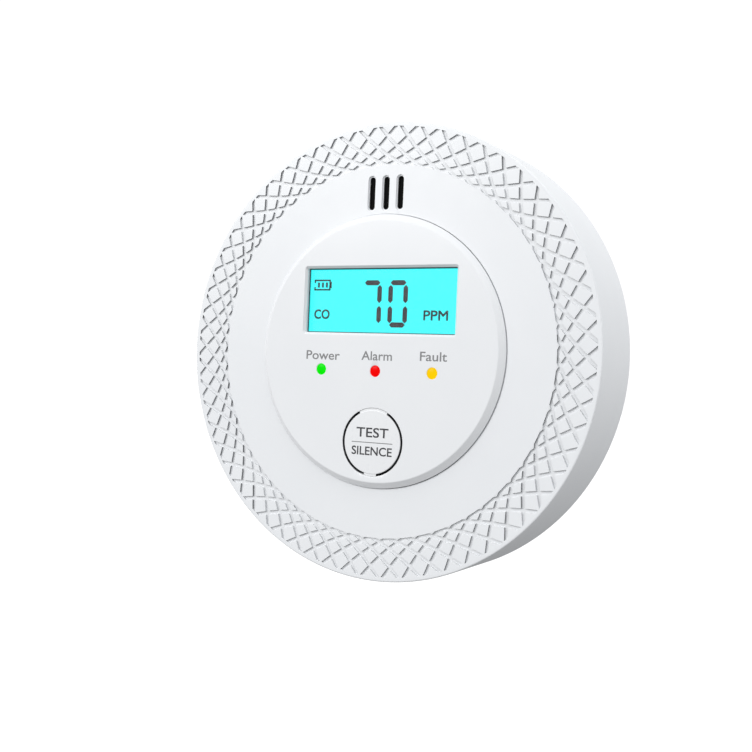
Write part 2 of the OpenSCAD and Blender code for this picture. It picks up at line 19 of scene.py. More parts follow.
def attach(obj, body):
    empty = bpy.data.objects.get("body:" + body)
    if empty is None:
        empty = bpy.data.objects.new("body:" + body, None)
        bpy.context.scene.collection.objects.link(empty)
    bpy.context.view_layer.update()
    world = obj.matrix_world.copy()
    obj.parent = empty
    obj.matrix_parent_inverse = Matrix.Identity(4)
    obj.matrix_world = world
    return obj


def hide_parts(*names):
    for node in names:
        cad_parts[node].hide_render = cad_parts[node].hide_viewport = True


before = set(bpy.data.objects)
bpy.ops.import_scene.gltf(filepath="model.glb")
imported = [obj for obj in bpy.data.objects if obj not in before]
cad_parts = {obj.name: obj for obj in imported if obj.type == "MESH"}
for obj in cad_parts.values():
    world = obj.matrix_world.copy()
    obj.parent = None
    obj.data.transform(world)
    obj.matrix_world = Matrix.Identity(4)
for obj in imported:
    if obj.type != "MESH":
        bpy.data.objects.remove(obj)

MM = 0.001
STEPS = 288
LOG = logging.getLogger("detector")

Point = tuple[float, float]
Outline = list[Point]
Colour = tuple[float, float, float]


class Join(Enum):
    """How one solid is worked into another."""

    ADD = "UNION"
    CUT = "DIFFERENCE"
    KEEP = "INTERSECT"


class Facing(Enum):
    """The way a turned solid's own axis points in the stack."""

    OUT = "out"
    RIGHT = "right"
    LEFT = "left"


class Segment(Enum):
    """The seven bars of one display digit."""

    TOP = "a"
    UPPER_RIGHT = "b"
    LOWER_RIGHT = "c"
    BOTTOM = "d"
    LOWER_LEFT = "e"
    UPPER_LEFT = "f"
    MIDDLE = "g"


# ---------- finishes ----------


class Tree:
    """The node tree of one material, with short calls that add and join its nodes."""

    def __init__(self, name: str) -> None:
        """Starts a material with a Principled shader.

        Args:
            name: the material's name.
        """
        self.material = bpy.data.materials.new(name)
        self.material.use_nodes = True
        self.nodes = self.material.node_tree.nodes
        self.links = self.material.node_tree.links
        self.shader = self.nodes["Principled BSDF"]
        self.place = self.nodes.new("ShaderNodeTexCoord").outputs["Object"]

    def noise(self, size: float, detail: float = 3.0,
              stretch: Colour = (1.0, 1.0, 1.0)) -> bpy.types.NodeSocket:
        """Adds a noise whose lumps are about one size across.

        Args:
            size: width of a lump, in mm.
            detail: how many finer layers the noise has.
            stretch: how much finer it is along each axis.

        Returns:
            The noise's value.
        """
        mapping = self.nodes.new("ShaderNodeMapping")
        mapping.inputs["Scale"].default_value = [s / (size * MM) for s in stretch]
        self.links.new(self.place, mapping.inputs["Vector"])
        noise = self.nodes.new("ShaderNodeTexNoise")
        noise.inputs["Scale"].default_value = 1.0
        noise.inputs["Detail"].default_value = detail
        self.links.new(mapping.outputs["Vector"], noise.inputs["Vector"])
        return noise.outputs["Fac"]

    def spread(self, value: bpy.types.NodeSocket, low: float, high: float,
               start: float = 0.3, end: float = 0.7) -> bpy.types.NodeSocket:
        """Maps a value from one range to another.

        Args:
            value: the value to map.
            low: result at the start of the range.
            high: result at its end.
            start: where the range of the value starts.
            end: where it ends.

        Returns:
            The mapped value.
        """
        mapper = self.nodes.new("ShaderNodeMapRange")
        for name, number in (("From Min", start), ("From Max", end), ("To Min", low), ("To Max", high)):
            mapper.inputs[name].default_value = number
        self.links.new(value, mapper.inputs["Value"])
        return mapper.outputs["Result"]

    def mix(self, factor: bpy.types.NodeSocket, first: Colour | bpy.types.NodeSocket,
            second: Colour | bpy.types.NodeSocket) -> bpy.types.NodeSocket:
        """Mixes two colours.

        Args:
            factor: 0 for the first colour, 1 for the second.
            first: a colour, or the socket that gives one.
            second: a colour, or the socket that gives one.

        Returns:
            The mixed colour.
        """
        mixer = self.nodes.new("ShaderNodeMix")
        mixer.data_type = "RGBA"
        self.links.new(factor, mixer.inputs["Factor"])
        for socket, colour in ((mixer.inputs[6], first), (mixer.inputs[7], second)):
            if isinstance(colour, tuple):
                socket.default_value = (*colour, 1.0)
            else:
                self.links.new(colour, socket)
        return mixer.outputs[2]

    def edges(self) -> bpy.types.NodeSocket:
        """Gives 1 on rubbed edges and 0 elsewhere.

        Returns:
            The wear.
        """
        bevel = self.nodes.new("ShaderNodeBevel")
        bevel.samples = 4
        bevel.inputs["Radius"].default_value = 0.15 * MM
        geometry = self.nodes.new("ShaderNodeNewGeometry")
        likeness = self.nodes.new("ShaderNodeVectorMath")
        likeness.operation = "DOT_PRODUCT"
        self.links.new(bevel.outputs["Normal"], likeness.inputs[0])
        self.links.new(geometry.outputs["Normal"], likeness.inputs[1])
        return self.spread(likeness.outputs["Value"], 0.7, 0.0, 0.75, 0.98)

    def relief(self, height: bpy.types.NodeSocket, depth: float) -> None:
        """Presses a pattern into the surface.

        Args:
            height: the pattern.
            depth: its depth, in mm.
        """
        bump = self.nodes.new("ShaderNodeBump")
        bump.inputs["Distance"].default_value = depth * MM
        self.links.new(height, bump.inputs["Height"])
        self.links.new(bump.outputs["Normal"], self.shader.inputs["Normal"])

    def set(self, **values: float | tuple) -> None:
        """Sets fixed values on the shader's own sockets, by their names with _ for a space."""
        for name, value in values.items():
            self.shader.inputs[name.replace("_", " ")].default_value = value

    def drive(self, name: str, value: bpy.types.NodeSocket) -> None:
        """Joins a value to one of the shader's sockets."""
        self.links.new(value, self.shader.inputs[name])


@dataclass(frozen=True)
class Finish:
    """A surface finish: what all of them share.

    Args:
        name: the material's name.
        base: main colour.
        tint: colour it drifts towards in patches.
        gloss: lowest and highest roughness.
        grain: width of the surface grain, in mm.
        depth: depth of the grain, in mm.
    """

    name: str
    base: Colour
    tint: Colour
    gloss: Point = (0.3, 0.4)
    grain: float = 0.25
    depth: float = 0.002

    def material(self) -> bpy.types.Material:
        """Gives the finish's material, which is made once.

        Returns:
            The material.
        """
        made = bpy.data.materials.get(self.name)
        if made is None:
            tree = Tree(self.name)
            self.dress(tree)
            made = tree.material
        return made

    def dress(self, tree: Tree) -> None:
        """Adds the finish's nodes.

        Args:
            tree: the material's tree.
        """
        raise NotImplementedError


@dataclass(frozen=True)
class MouldedPlastic(Finish):
    """Injection-moulded plastic with a fine texture, faint colour drift and polished edges.

    Args:
        worn: colour of its rubbed edges.
        flow: width of the patches in which the colour drifts, in mm.
        coat: strength of the clear, shinier skin.
    """

    worn: Colour = (0.95, 0.95, 0.95)
    flow: float = 14.0
    coat: float = 0.0

    def dress(self, tree: Tree) -> None:
        """Adds the plastic's nodes.

        Args:
            tree: the material's tree.
        """
        drift = tree.spread(tree.noise(self.flow, 2.0), 0.0, 1.0)
        colour = tree.mix(drift, self.base, self.tint)
        speckle = tree.spread(tree.noise(self.grain * 3), 0.0, 0.35)
        colour = tree.mix(speckle, colour, self.tint)
        tree.drive("Base Color", tree.mix(tree.edges(), colour, self.worn))
        tree.drive("Roughness", tree.spread(tree.noise(self.grain * 9, 4.0), *self.gloss))
        tree.relief(tree.noise(self.grain, 4.0), self.depth)
        tree.set(IOR=1.5, Coat_Weight=self.coat, Coat_Roughness=0.12)


@dataclass(frozen=True)
class PlatedMetal(Finish):
    """Plated or drawn metal with fine lines along one axis.

    Args:
        lines: how much finer the grain is along each axis.
        stain: colour of the dull spots.
    """

    lines: Colour = (1.0, 1.0, 8.0)
    stain: Colour = (0.35, 0.33, 0.3)

    def dress(self, tree: Tree) -> None:
        """Adds the metal's nodes.

        Args:
            tree: the material's tree.
        """
        colour = tree.mix(tree.spread(tree.noise(3.0), 0.0, 1.0), self.base, self.tint)
        spots = tree.spread(tree.noise(0.9, 5.0), 0.0, 0.5, 0.6, 0.75)
        tree.drive("Base Color", tree.mix(spots, colour, self.stain))
        tree.drive("Roughness", tree.spread(tree.noise(self.grain * 2, 3.0, self.lines), *self.gloss))
        tree.relief(tree.noise(self.grain, 4.0, self.lines), self.depth)
        tree.set(Metallic=1.0)


@dataclass(frozen=True)
class SoftMatter(Finish):
    """Rubber, felt, woven mesh or ceramic: a dull surface with a marked grain.

    Args:
        weave: spacing of crossed threads in mm, or 0 for none.
        fuzz: strength of the soft sheen.
        shine: strength of its reflections.
    """

    weave: float = 0.0
    fuzz: float = 0.0
    shine: float = 0.5

    def dress(self, tree: Tree) -> None:
        """Adds the dull surface's nodes.

        Args:
            tree: the material's tree.
        """
        grain = tree.noise(self.grain, 5.0)
        tree.drive("Base Color", tree.mix(tree.spread(grain, 0.0, 1.0), self.base, self.tint))
        tree.drive("Roughness", tree.spread(tree.noise(self.grain * 4), *self.gloss))
        if self.weave:
            wave = tree.nodes.new("ShaderNodeTexWave")
            wave.inputs["Scale"].default_value = 0.3 / (self.weave * MM)
            wave.inputs["Distortion"].default_value = 1.5
            tree.links.new(tree.place, wave.inputs["Vector"])
            tree.relief(wave.outputs["Fac"], self.depth)
        else:
            tree.relief(grain, self.depth)
        tree.set(Sheen_Weight=self.fuzz, Specular_IOR_Level=self.shine)


@dataclass(frozen=True)
class CircuitBoard(Finish):
    """Lacquered glass-fibre board: a weave under the lacquer and copper tracks that show through.

    Args:
        track: colour of the lacquer over copper.
        pitch: spacing of the tracks, in mm.
    """

    track: Colour = (0.05, 0.28, 0.14)
    pitch: float = 1.6

    def dress(self, tree: Tree) -> None:
        """Adds the board's nodes.

        Args:
            tree: the material's tree.
        """
        cells = tree.nodes.new("ShaderNodeTexVoronoi")
        cells.distance = "MANHATTAN"
        cells.feature = "F2"
        cells.inputs["Scale"].default_value = 1.0 / (self.pitch * 3 * MM)
        tree.links.new(tree.place, cells.inputs["Vector"])
        tracks = tree.spread(cells.outputs["Distance"], 0.0, 1.0, 0.62, 0.66)
        colour = tree.mix(tree.spread(tree.noise(self.grain), 0.0, 1.0), self.base, self.tint)
        tree.drive("Base Color", tree.mix(tracks, colour, self.track))
        tree.drive("Roughness", tree.spread(tree.noise(2.0), *self.gloss))
        tree.relief(tracks, self.depth)


@dataclass(frozen=True)
class ClearPlastic(Finish):
    """Polished clear plastic with faint wiping marks."""

    def dress(self, tree: Tree) -> None:
        """Adds the clear plastic's nodes.

        Args:
            tree: the material's tree.
        """
        colour = tree.mix(tree.spread(tree.noise(6.0), 0.0, 1.0), self.base, self.tint)
        tree.drive("Base Color", colour)
        tree.drive("Roughness", tree.spread(tree.noise(self.grain, 4.0, (1.0, 1.0, 5.0)), *self.gloss))
        tree.relief(tree.noise(2.5), self.depth)
        tree.set(Transmission_Weight=1.0, IOR=1.47, Specular_IOR_Level=0.12)


@dataclass(frozen=True)
class LitPlastic(Finish):
    """A lamp or panel that gives off its own coloured light, with a slightly uneven glow.

    Args:
        power: strength of the light.
        patch: width of the uneven patches, in mm.
    """

    power: float = 1.0
    patch: float = 8.0

    def dress(self, tree: Tree) -> None:
        """Adds the lit plastic's nodes.

        Args:
            tree: the material's tree.
        """
        glow = tree.mix(tree.spread(tree.noise(self.patch, 1.0), 0.0, 1.0), self.base, self.tint)
        tree.drive("Emission Color", glow)
        tree.drive("Roughness", tree.spread(tree.noise(self.grain), *self.gloss))
        tree.relief(tree.noise(self.grain), self.depth)
        tree.set(Base_Color=tuple(c * 0.05 for c in self.base) + (1.0,), Emission_Strength=self.power,
                 Specular_IOR_Level=0.06)


CASE_WHITE = MouldedPlastic("case white", (0.86, 0.87, 0.885), (0.84, 0.852, 0.87), (0.3, 0.36), 0.22,
                            0.0012)
FASCIA_WHITE = MouldedPlastic("fascia white", (0.865, 0.873, 0.886), (0.845, 0.855, 0.871), (0.2, 0.24),
                              0.22, 0.0008)
BUTTON_WHITE = MouldedPlastic("button white", (0.87, 0.875, 0.885), (0.85, 0.857, 0.87), (0.26, 0.32), 0.22,
                              0.001)
# Painted shade on the walls of the lattice grooves: a faint shade on every wall and a deep shade on the walls
# that don't face up, away from the light above. Their worn colour equals their base, so no edge lightens.
GROOVE_FAINT_SHADE = MouldedPlastic("groove faint painted shade", (0.82, 0.83, 0.845), (0.8, 0.812, 0.83), (0.4, 0.5), 0.22,
                              0.0012, worn=(0.82, 0.83, 0.845))
GROOVE_DEEP_SHADE = MouldedPlastic("groove deep painted shade", (0.24, 0.245, 0.255), (0.2, 0.205, 0.215), (0.5, 0.6), 0.22,
                             0.0012, worn=(0.24, 0.245, 0.255))
# Painted shade: near black on the walls of the slots and of the gap round the test button, where shade falls.
GAP_SHADE = MouldedPlastic("gap painted shade", (0.07, 0.072, 0.076), (0.09, 0.092, 0.096), (0.5, 0.6), 0.22, 0.0012,
                          worn=(0.07, 0.072, 0.076))
COVER_WHITE = MouldedPlastic("cover white", (0.8, 0.81, 0.82), (0.77, 0.78, 0.795), (0.45, 0.56), 0.4,
                             0.006)
FRAME_PLASTIC = MouldedPlastic("frame plastic", (0.8, 0.8, 0.77), (0.76, 0.76, 0.73), (0.5, 0.6), 0.4,
                               0.005)
LIGHT_GUIDE = MouldedPlastic("light guide", (0.85, 0.93, 0.93), (0.8, 0.9, 0.9), (0.2, 0.3), 0.3, 0.002)
LAMP_BODY = MouldedPlastic("lamp body", (0.86, 0.84, 0.76), (0.8, 0.78, 0.7), (0.2, 0.3), 0.2, 0.002)
SWITCH_BLACK = MouldedPlastic("switch black", (0.03, 0.03, 0.033), (0.045, 0.045, 0.047), (0.4, 0.5), 0.2,
                              0.004, worn=(0.07, 0.07, 0.07))
PLUNGER_RED = MouldedPlastic("plunger red", (0.35, 0.04, 0.03), (0.28, 0.03, 0.025), (0.35, 0.45), 0.2,
                             0.003, worn=(0.42, 0.08, 0.06))
CHIP_BLACK = MouldedPlastic("chip black", (0.025, 0.025, 0.028), (0.035, 0.035, 0.037), (0.55, 0.65), 0.1,
                            0.006, worn=(0.06, 0.06, 0.06))
SLEEVE_BLUE = MouldedPlastic("sleeve blue", (0.02, 0.03, 0.12), (0.03, 0.04, 0.15), (0.2, 0.3), 0.4, 0.003,
                             worn=(0.06, 0.07, 0.2))
SOUNDER_BLACK = MouldedPlastic("sounder black", (0.025, 0.025, 0.027), (0.04, 0.04, 0.042), (0.45, 0.55),
                               0.3, 0.006, worn=(0.07, 0.07, 0.07))
CELL_JACKET = MouldedPlastic("cell jacket", (0.02, 0.16, 0.09), (0.025, 0.2, 0.11), (0.22, 0.3), 0.5, 0.002,
                             worn=(0.08, 0.3, 0.2), coat=0.4)
BOARD = CircuitBoard("circuit board", (0.012, 0.14, 0.06), (0.018, 0.17, 0.08), (0.22, 0.32), 0.5, 0.02)
TIN = PlatedMetal("tinned steel", (0.72, 0.72, 0.72), (0.66, 0.66, 0.67), (0.22, 0.36), 0.2, 0.002)
SPRING_STEEL = PlatedMetal("spring steel", (0.66, 0.67, 0.68), (0.6, 0.6, 0.62), (0.2, 0.32), 0.1, 0.001)
SCREW_ZINC = PlatedMetal("zinc plate", (0.6, 0.62, 0.64), (0.55, 0.55, 0.54), (0.3, 0.42), 0.15, 0.002,
                         (1.0, 1.0, 1.0))
CAN_STEEL = PlatedMetal("can steel", (0.68, 0.68, 0.67), (0.62, 0.62, 0.6), (0.3, 0.42), 0.3, 0.002)
BRASS = PlatedMetal("rolled brass", (0.72, 0.52, 0.2), (0.66, 0.46, 0.17), (0.25, 0.38), 0.25, 0.002,
                    stain=(0.35, 0.22, 0.08))
FERRITE = SoftMatter("ferrite", (0.05, 0.05, 0.052), (0.08, 0.08, 0.082), (0.5, 0.65), 0.15, 0.01)
CERAMIC = SoftMatter("ceramic", (0.5, 0.38, 0.22), (0.42, 0.31, 0.17), (0.45, 0.6), 0.12, 0.006)
PINK_RUBBER = SoftMatter("pink rubber", (0.62, 0.22, 0.26), (0.54, 0.18, 0.22), (0.5, 0.65), 0.2, 0.006)
LEAD_RED = SoftMatter("lead insulation", (0.5, 0.03, 0.03), (0.42, 0.02, 0.02), (0.4, 0.5), 0.2, 0.004)
FELT = SoftMatter("filter felt", (0.14, 0.14, 0.15), (0.2, 0.2, 0.21), (0.85, 0.95), 0.08, 0.05, 0.0, 0.4)
MESH_BLACK = SoftMatter("dust mesh", (0.004, 0.004, 0.004), (0.012, 0.012, 0.012), (0.7, 0.9), 0.1, 0.06,
                        0.25, shine=0.05)
LENS_CLEAR = ClearPlastic("lens clear", (0.97, 0.99, 1.0), (0.95, 0.985, 0.99), (0.02, 0.05), 0.6, 0.0004)
PANEL_CYAN = LitPlastic("display cyan", (0.045, 1.0, 1.0), (0.05, 0.99, 1.0), (0.2, 0.3), 0.5, 0.001, 1.06)
LAMP_GREEN = LitPlastic("lamp green", (0.0, 0.8, 0.0), (0.005, 0.84, 0.005), (0.12, 0.2), 0.4, 0.001, 1.0,
                        1.2)
LAMP_RED = LitPlastic("lamp red", (0.86, 0.0, 0.0), (0.9, 0.0, 0.0), (0.12, 0.2), 0.4, 0.001, 1.0, 1.2)
LAMP_AMBER = LitPlastic("lamp amber", (0.93, 0.58, 0.0), (0.96, 0.62, 0.0), (0.12, 0.2), 0.4, 0.001, 1.0,
                        1.2)
SEGMENT_INK = SoftMatter("segment ink", (0.045, 0.022, 0.026), (0.055, 0.028, 0.032), (0.6, 0.7), 0.3,
                         0.001)
SYMBOL_INK = SoftMatter("symbol ink", (0.002, 0.016, 0.02), (0.003, 0.02, 0.025), (0.6, 0.7), 0.3, 0.001)
GREY_INK = SoftMatter("grey ink", (0.22, 0.22, 0.225), (0.24, 0.24, 0.245), (0.55, 0.65), 0.2, 0.001)
DARK_INK = SoftMatter("dark ink", (0.035, 0.035, 0.04), (0.045, 0.045, 0.05), (0.55, 0.65), 0.2, 0.001)
# Painted shade and reflection: the lens gasket's dark teal stands for the dark line of shade and reflection
# along the window's edges.
GASKET_EDGE_SHADE = SoftMatter("gasket teal painted shade", (0.012, 0.075, 0.09), (0.02, 0.09, 0.1), (0.5, 0.6), 0.2, 0.002)


# ---------- mesh tools ----------


def to_model(x: float, y: float, z: float) -> Vector:
    """Turns a place in the stack, in mm, into a place in the scene, in metres."""
    return Vector((x * MM, -z * MM, y * MM))


def new_piece(name: str, work: bmesh.types.BMesh) -> bpy.types.Object:
    """Turns a worked mesh into a piece in the scene.

    Args:
        name: the piece's name.
        work: its mesh, which is freed.

    Returns:
        The piece.
    """
    bmesh.ops.remove_doubles(work, verts=work.verts, dist=1e-7)
    bmesh.ops.recalc_face_normals(work, faces=work.faces)
    mesh = bpy.data.meshes.new(name)
    work.to_mesh(mesh)
    work.free()
    piece = bpy.data.objects.new(name, mesh)
    bpy.context.scene.collection.objects.link(piece)
    return piece


def rounded(corners: list[tuple[float, float, float]], steps: int = 4) -> Outline:
    """Rounds the corners of a closed section.

    Args:
        corners: each corner's two coordinates and its radius.
        steps: straight pieces in each arc.

    Returns:
        The section's points.
    """
    points: Outline = []
    for i, (u, v, radius) in enumerate(corners):
        corner = Vector((u, v))
        if radius <= 0:
            points.append((u, v))
            continue
        before = (Vector(corners[i - 1][:2]) - corner).normalized()
        after = (Vector(corners[(i + 1) % len(corners)][:2]) - corner).normalized()
        half = before.angle(after) / 2
        centre = corner + (before + after).normalized() * (radius / math.sin(half))
        start = corner + before * (radius / math.tan(half)) - centre
        end = corner + after * (radius / math.tan(half)) - centre
        sweep = start.angle(end)
        for k in range(steps + 1):
            t = k / steps
            arm = (start * math.sin((1 - t) * sweep) + end * math.sin(t * sweep)) / math.sin(sweep)
            points.append(tuple(centre + arm))
    return points


def turned(name: str, section: Outline, centre: tuple[float, float, float] = (0.0, 0.0, 0.0),
           facing: Facing = Facing.OUT, steps: int = STEPS) -> bpy.types.Object:
    """Turns a section round an axis, as on a lathe.

    Args:
        name: the piece's name.
        section: the section's radii and heights along the axis.
        centre: where the axis starts in the stack.
        facing: the way the axis points.
        steps: facets round the piece.

    Returns:
        The turned piece.
    """
    work = bmesh.new()
    rings = []
    for i in range(steps):
        angle = 2 * math.pi * i / steps
        ring = []
        for radius, height in section:
            across, up = radius * math.cos(angle), radius * math.sin(angle)
            spot = {Facing.OUT: (across, up, height), Facing.RIGHT: (height, across, up),
                    Facing.LEFT: (-height, across, -up)}[facing]
            ring.append(work.verts.new(to_model(*(c + s for c, s in zip(centre, spot)))))
        rings.append(ring)
    count = len(section)
    for i in range(steps):
        here, there = rings[i], rings[(i + 1) % steps]
        for j in range(count):
            k = (j + 1) % count
            if section[j][0] > 1e-6 or section[k][0] > 1e-6:
                work.faces.new((here[j], here[k], there[k], there[j]))
    return new_piece(name, work)


def skin(work: bmesh.types.BMesh, rings: list[list[bmesh.types.BMVert]]) -> None:
    """Closes a solid over rings of points.

    Args:
        work: the mesh it is added to.
        rings: the rings, each with the same number of points.
    """
    count = len(rings[0])
    for low, high in zip(rings, rings[1:]):
        for j in range(count):
            k = (j + 1) % count
            work.faces.new((low[j], low[k], high[k], high[j]))
    work.faces.new(list(reversed(rings[0])))
    work.faces.new(rings[-1])


def add_stack(work: bmesh.types.BMesh, outlines: list[Outline], levels: list[float]) -> None:
    """Adds a closed solid that passes through outlines at rising levels.

    Args:
        work: the mesh it is added to.
        outlines: outlines with the same number of points, one for each level.
        levels: height of each outline in the stack, in mm.
    """
    rings = [[work.verts.new(to_model(x, y, z)) for x, y in outline] for outline, z in zip(outlines, levels)]
    skin(work, rings)


def stacked(name: str, outlines: list[Outline], levels: list[float]) -> bpy.types.Object:
    """Makes one closed solid through outlines at rising levels.

    Args:
        name: the piece's name.
        outlines: outlines with the same number of points, one for each level.
        levels: height of each outline in the stack, in mm.

    Returns:
        The solid.
    """
    work = bmesh.new()
    add_stack(work, outlines, levels)
    return new_piece(name, work)


def inset(outline: Outline, by: float) -> Outline:
    """Moves every side of a convex outline, listed anticlockwise, inwards.

    Args:
        outline: the outline.
        by: how far the sides move.

    Returns:
        The smaller outline.
    """
    points = [Vector(p) for p in outline]
    count = len(points)
    moved: Outline = []
    for i, point in enumerate(points):
        sides = []
        for a, b in ((points[i - 1], point), (point, points[(i + 1) % count])):
            along = (b - a).normalized()
            sides.append((along, Vector((-along.y, along.x))))
        (_, first), (_, second) = sides
        moved.append(tuple(point + (first + second) * (by / (1 + first.dot(second)))))
    return moved


def oblong(x: float, y: float, width: float, height: float, corner: float, steps: int = 5) -> Outline:
    """Gives an oblong with rounded corners.

    Args:
        x: middle of the oblong.
        y: middle of the oblong.
        width: its width.
        height: its height.
        corner: radius of its corners.
        steps: straight pieces in each corner.

    Returns:
        The outline, anticlockwise.
    """
    half_w, half_h = width / 2, height / 2
    radius = min(corner, half_w - 1e-4, half_h - 1e-4)
    corners = [(x - half_w, y - half_h, radius), (x + half_w, y - half_h, radius),
               (x + half_w, y + half_h, radius), (x - half_w, y + half_h, radius)]
    return rounded(corners, steps)


def arc_outline(inner: float, outer: float, mid: float, span: float, steps: int = 16,
                centre: Point = (0.0, 0.0)) -> Outline:
    """Gives a piece of a ring.

    Args:
        inner: inner radius.
        outer: outer radius.
        mid: angle of its middle, in degrees.
        span: angle between its ends, in degrees.
        steps: straight pieces along it.
        centre: the ring's centre.

    Returns:
        The outline, anticlockwise.
    """
    angles = [math.radians(mid - span / 2 + span * i / steps) for i in range(steps + 1)]
    out = [(centre[0] + outer * math.cos(a), centre[1] + outer * math.sin(a)) for a in angles]
    back = [(centre[0] + inner * math.cos(a), centre[1] + inner * math.sin(a)) for a in reversed(angles)]
    return out + back


def bake_modifiers(piece: bpy.types.Object) -> None:
    """Applies every modifier on a piece to its mesh.

    Args:
        piece: the piece.
    """
    bpy.context.view_layer.update()
    graph = bpy.context.evaluated_depsgraph_get()
    result = piece.evaluated_get(graph)
    mesh = bpy.data.meshes.new_from_object(result, preserve_all_data_layers=True, depsgraph=graph)
    piece.modifiers.clear()
    piece.data = mesh


def work_in(piece: bpy.types.Object, tool: bpy.types.Object, join: Join) -> None:
    """Works a tool solid into a piece, and removes the tool.

    Args:
        piece: the piece that changes.
        tool: the other solid.
        join: how they are joined.
    """
    modifier = piece.modifiers.new("join", "BOOLEAN")
    modifier.operation = join.value
    modifier.solver = "MANIFOLD"
    modifier.object = tool
    bake_modifiers(piece)
    bpy.data.objects.remove(tool)


def shade(piece: bpy.types.Object) -> None:
    """Smooths a piece's shading, apart from edges that bend by more than 33 degrees.

    Args:
        piece: the piece.
    """
    mesh = piece.data
    mesh.polygons.foreach_set("use_smooth", [True] * len(mesh.polygons))
    mesh.set_sharp_from_angle(angle=math.radians(33.0))
    normals = piece.modifiers.new("normals", "WEIGHTED_NORMAL")
    normals.keep_sharp = True
    bake_modifiers(piece)


def install(piece: bpy.types.Object, body: str, finish: Finish, slot: str, *nodes: str) -> bpy.types.Object:
    """Dresses a finished piece, sets it on its body and reports it.

    Args:
        piece: the piece, in place.
        body: the body it moves with.
        finish: its finish.
        slot: the record's material slot of that finish; not used.
        nodes: the frame nodes it stands for.

    Returns:
        The same piece.
    """
    if not piece.data.materials:
        piece.data.materials.append(finish.material())
    piece.data.materials[0] = finish.material()
    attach(piece, body)
    if nodes:
        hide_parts(*nodes)
    LOG.info("%s: %d faces, on %s", piece.name, len(piece.data.polygons), body)
    return piece


def refine(node: str, radius: float, body: str, finish: Finish, slot: str) -> None:
    """Puts a copy of a frame node in its place, dressed and with its edges rounded.

    Args:
        node: the node's name.
        radius: radius of the rounding, in mm.
        body: the body it moves with.
        finish: its finish.
        slot: the record's material slot of that finish.
    """
    work = bmesh.new()
    work.from_mesh(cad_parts[node].data)
    bmesh.ops.remove_doubles(work, verts=work.verts, dist=2e-7)
    bmesh.ops.dissolve_limit(work, angle_limit=math.radians(0.4), verts=work.verts, edges=work.edges)
    piece = new_piece(node + "_soft", work)
    bevel = piece.modifiers.new("edges", "BEVEL")
    bevel.width = radius * MM
    bevel.segments = 2
    bevel.limit_method = "ANGLE"
    bevel.angle_limit = math.radians(40.0)
    bevel.use_clamp_overlap = True
    bake_modifiers(piece)
    shade(piece)
    install(piece, body, finish, slot, node)


def paint(piece: bpy.types.Object, finish: Finish, chosen: Callable[[Vector, Vector], bool]) -> None:
    """Gives some faces of a piece a finish of their own, beside the main one set by install().

    Args:
        piece: the piece.
        finish: the finish of the chosen faces.
        chosen: tells from a face's middle, in mm, and its normal, both in the stack, if it is one of them.
    """
    if not piece.data.materials:
        piece.data.materials.append(finish.material())
    piece.data.materials.append(finish.material())
    for face in piece.data.polygons:
        middle, normal = face.center / MM, face.normal
        if chosen(Vector((middle.x, middle.z, -middle.y)), Vector((normal.x, normal.z, -normal.y))):
            face.material_index = len(piece.data.materials) - 1


def dress_node(node: str, finish: Finish) -> None:
    """Gives a frame node, whose shape is kept, its finish.

    Args:
        node: the node's name.
        finish: its finish.
    """
    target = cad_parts[node]
    target.data.materials.clear()
    target.data.materials.append(finish.material())
    LOG.info("%s: kept, dressed in %s", node, finish.name)


def ink_levels(face_z: float) -> Point:
    """Gives the lowest and highest level of ink on a face that is at a level, in mm."""
    return (face_z - 0.03, face_z + 0.015)


def lettering(name: str, words: str, centre: Point, width: float, height: float, levels: Point,
              weight: float) -> bpy.types.Object:
    """Makes thin raised words, whose strokes are thickened by copies set beside the first.

    Args:
        name: the piece's name.
        words: what they say.
        centre: middle of the words on the face, in mm.
        width: their width in mm.
        height: height of a capital in mm.
        levels: lowest and highest level of the ink in the stack, in mm.
        weight: how much the strokes are thickened, in mm.

    Returns:
        The words as a mesh piece, which isn't yet set on a body.
    """
    curve = bpy.data.curves.new(name, "FONT")
    curve.body = words
    curve.extrude = 0.02
    curve.resolution_u = 5
    holder = bpy.data.objects.new(name + "_type", curve)
    bpy.context.scene.collection.objects.link(holder)
    bpy.context.view_layer.update()
    work = bmesh.new()
    work.from_mesh(holder.to_mesh())
    holder.to_mesh_clear()
    bpy.data.objects.remove(holder)
    spots = [v.co.copy() for v in work.verts]
    low = Vector([min(s[i] for s in spots) for i in range(3)])
    high = Vector([max(s[i] for s in spots) for i in range(3)])
    size = high - low
    for vertex in work.verts:
        share = [(vertex.co[i] - low[i]) / size[i] for i in range(3)]
        x = centre[0] + (share[0] - 0.5) * width
        y = centre[1] + (share[1] - 0.5) * height
        vertex.co = to_model(x, y, levels[0] + share[2] * (levels[1] - levels[0]))
    letters = work.verts[:] + work.edges[:] + work.faces[:]
    for k, shift in enumerate(((weight, 0.0), (0.0, weight), (weight, weight))):
        copy = bmesh.ops.duplicate(work, geom=letters)["geom"]
        verts = [part for part in copy if isinstance(part, bmesh.types.BMVert)]
        bmesh.ops.translate(work, verts=verts, vec=to_model(*shift, -0.002 * (k + 1)))
    bmesh.ops.translate(work, verts=work.verts, vec=to_model(-weight / 2, -weight / 2, 0.0))
    return new_piece(name, work)


def tube(name: str, path: list[Vector], radius: float) -> bpy.types.Object:
    """Makes round wire with 12 sides along a path.

    Args:
        name: the piece's name.
        path: points of the wire's middle, in metres.
        radius: the wire's radius in mm.

    Returns:
        The wire.
    """
    work = bmesh.new()
    rings = []
    side = None
    for i, point in enumerate(path):
        along = (path[min(i + 1, len(path) - 1)] - path[max(i - 1, 0)]).normalized()
        if side is None:
            side = along.orthogonal().normalized()
        side = (side - along * side.dot(along)).normalized()
        other = along.cross(side)
        angles = [2 * math.pi * k / 12 for k in range(12)]
        arms = [side * math.cos(a) + other * math.sin(a) for a in angles]
        rings.append([work.verts.new(point + arm * radius * MM) for arm in arms])
    skin(work, rings)
    return new_piece(name, work)


# ---------- studio ----------


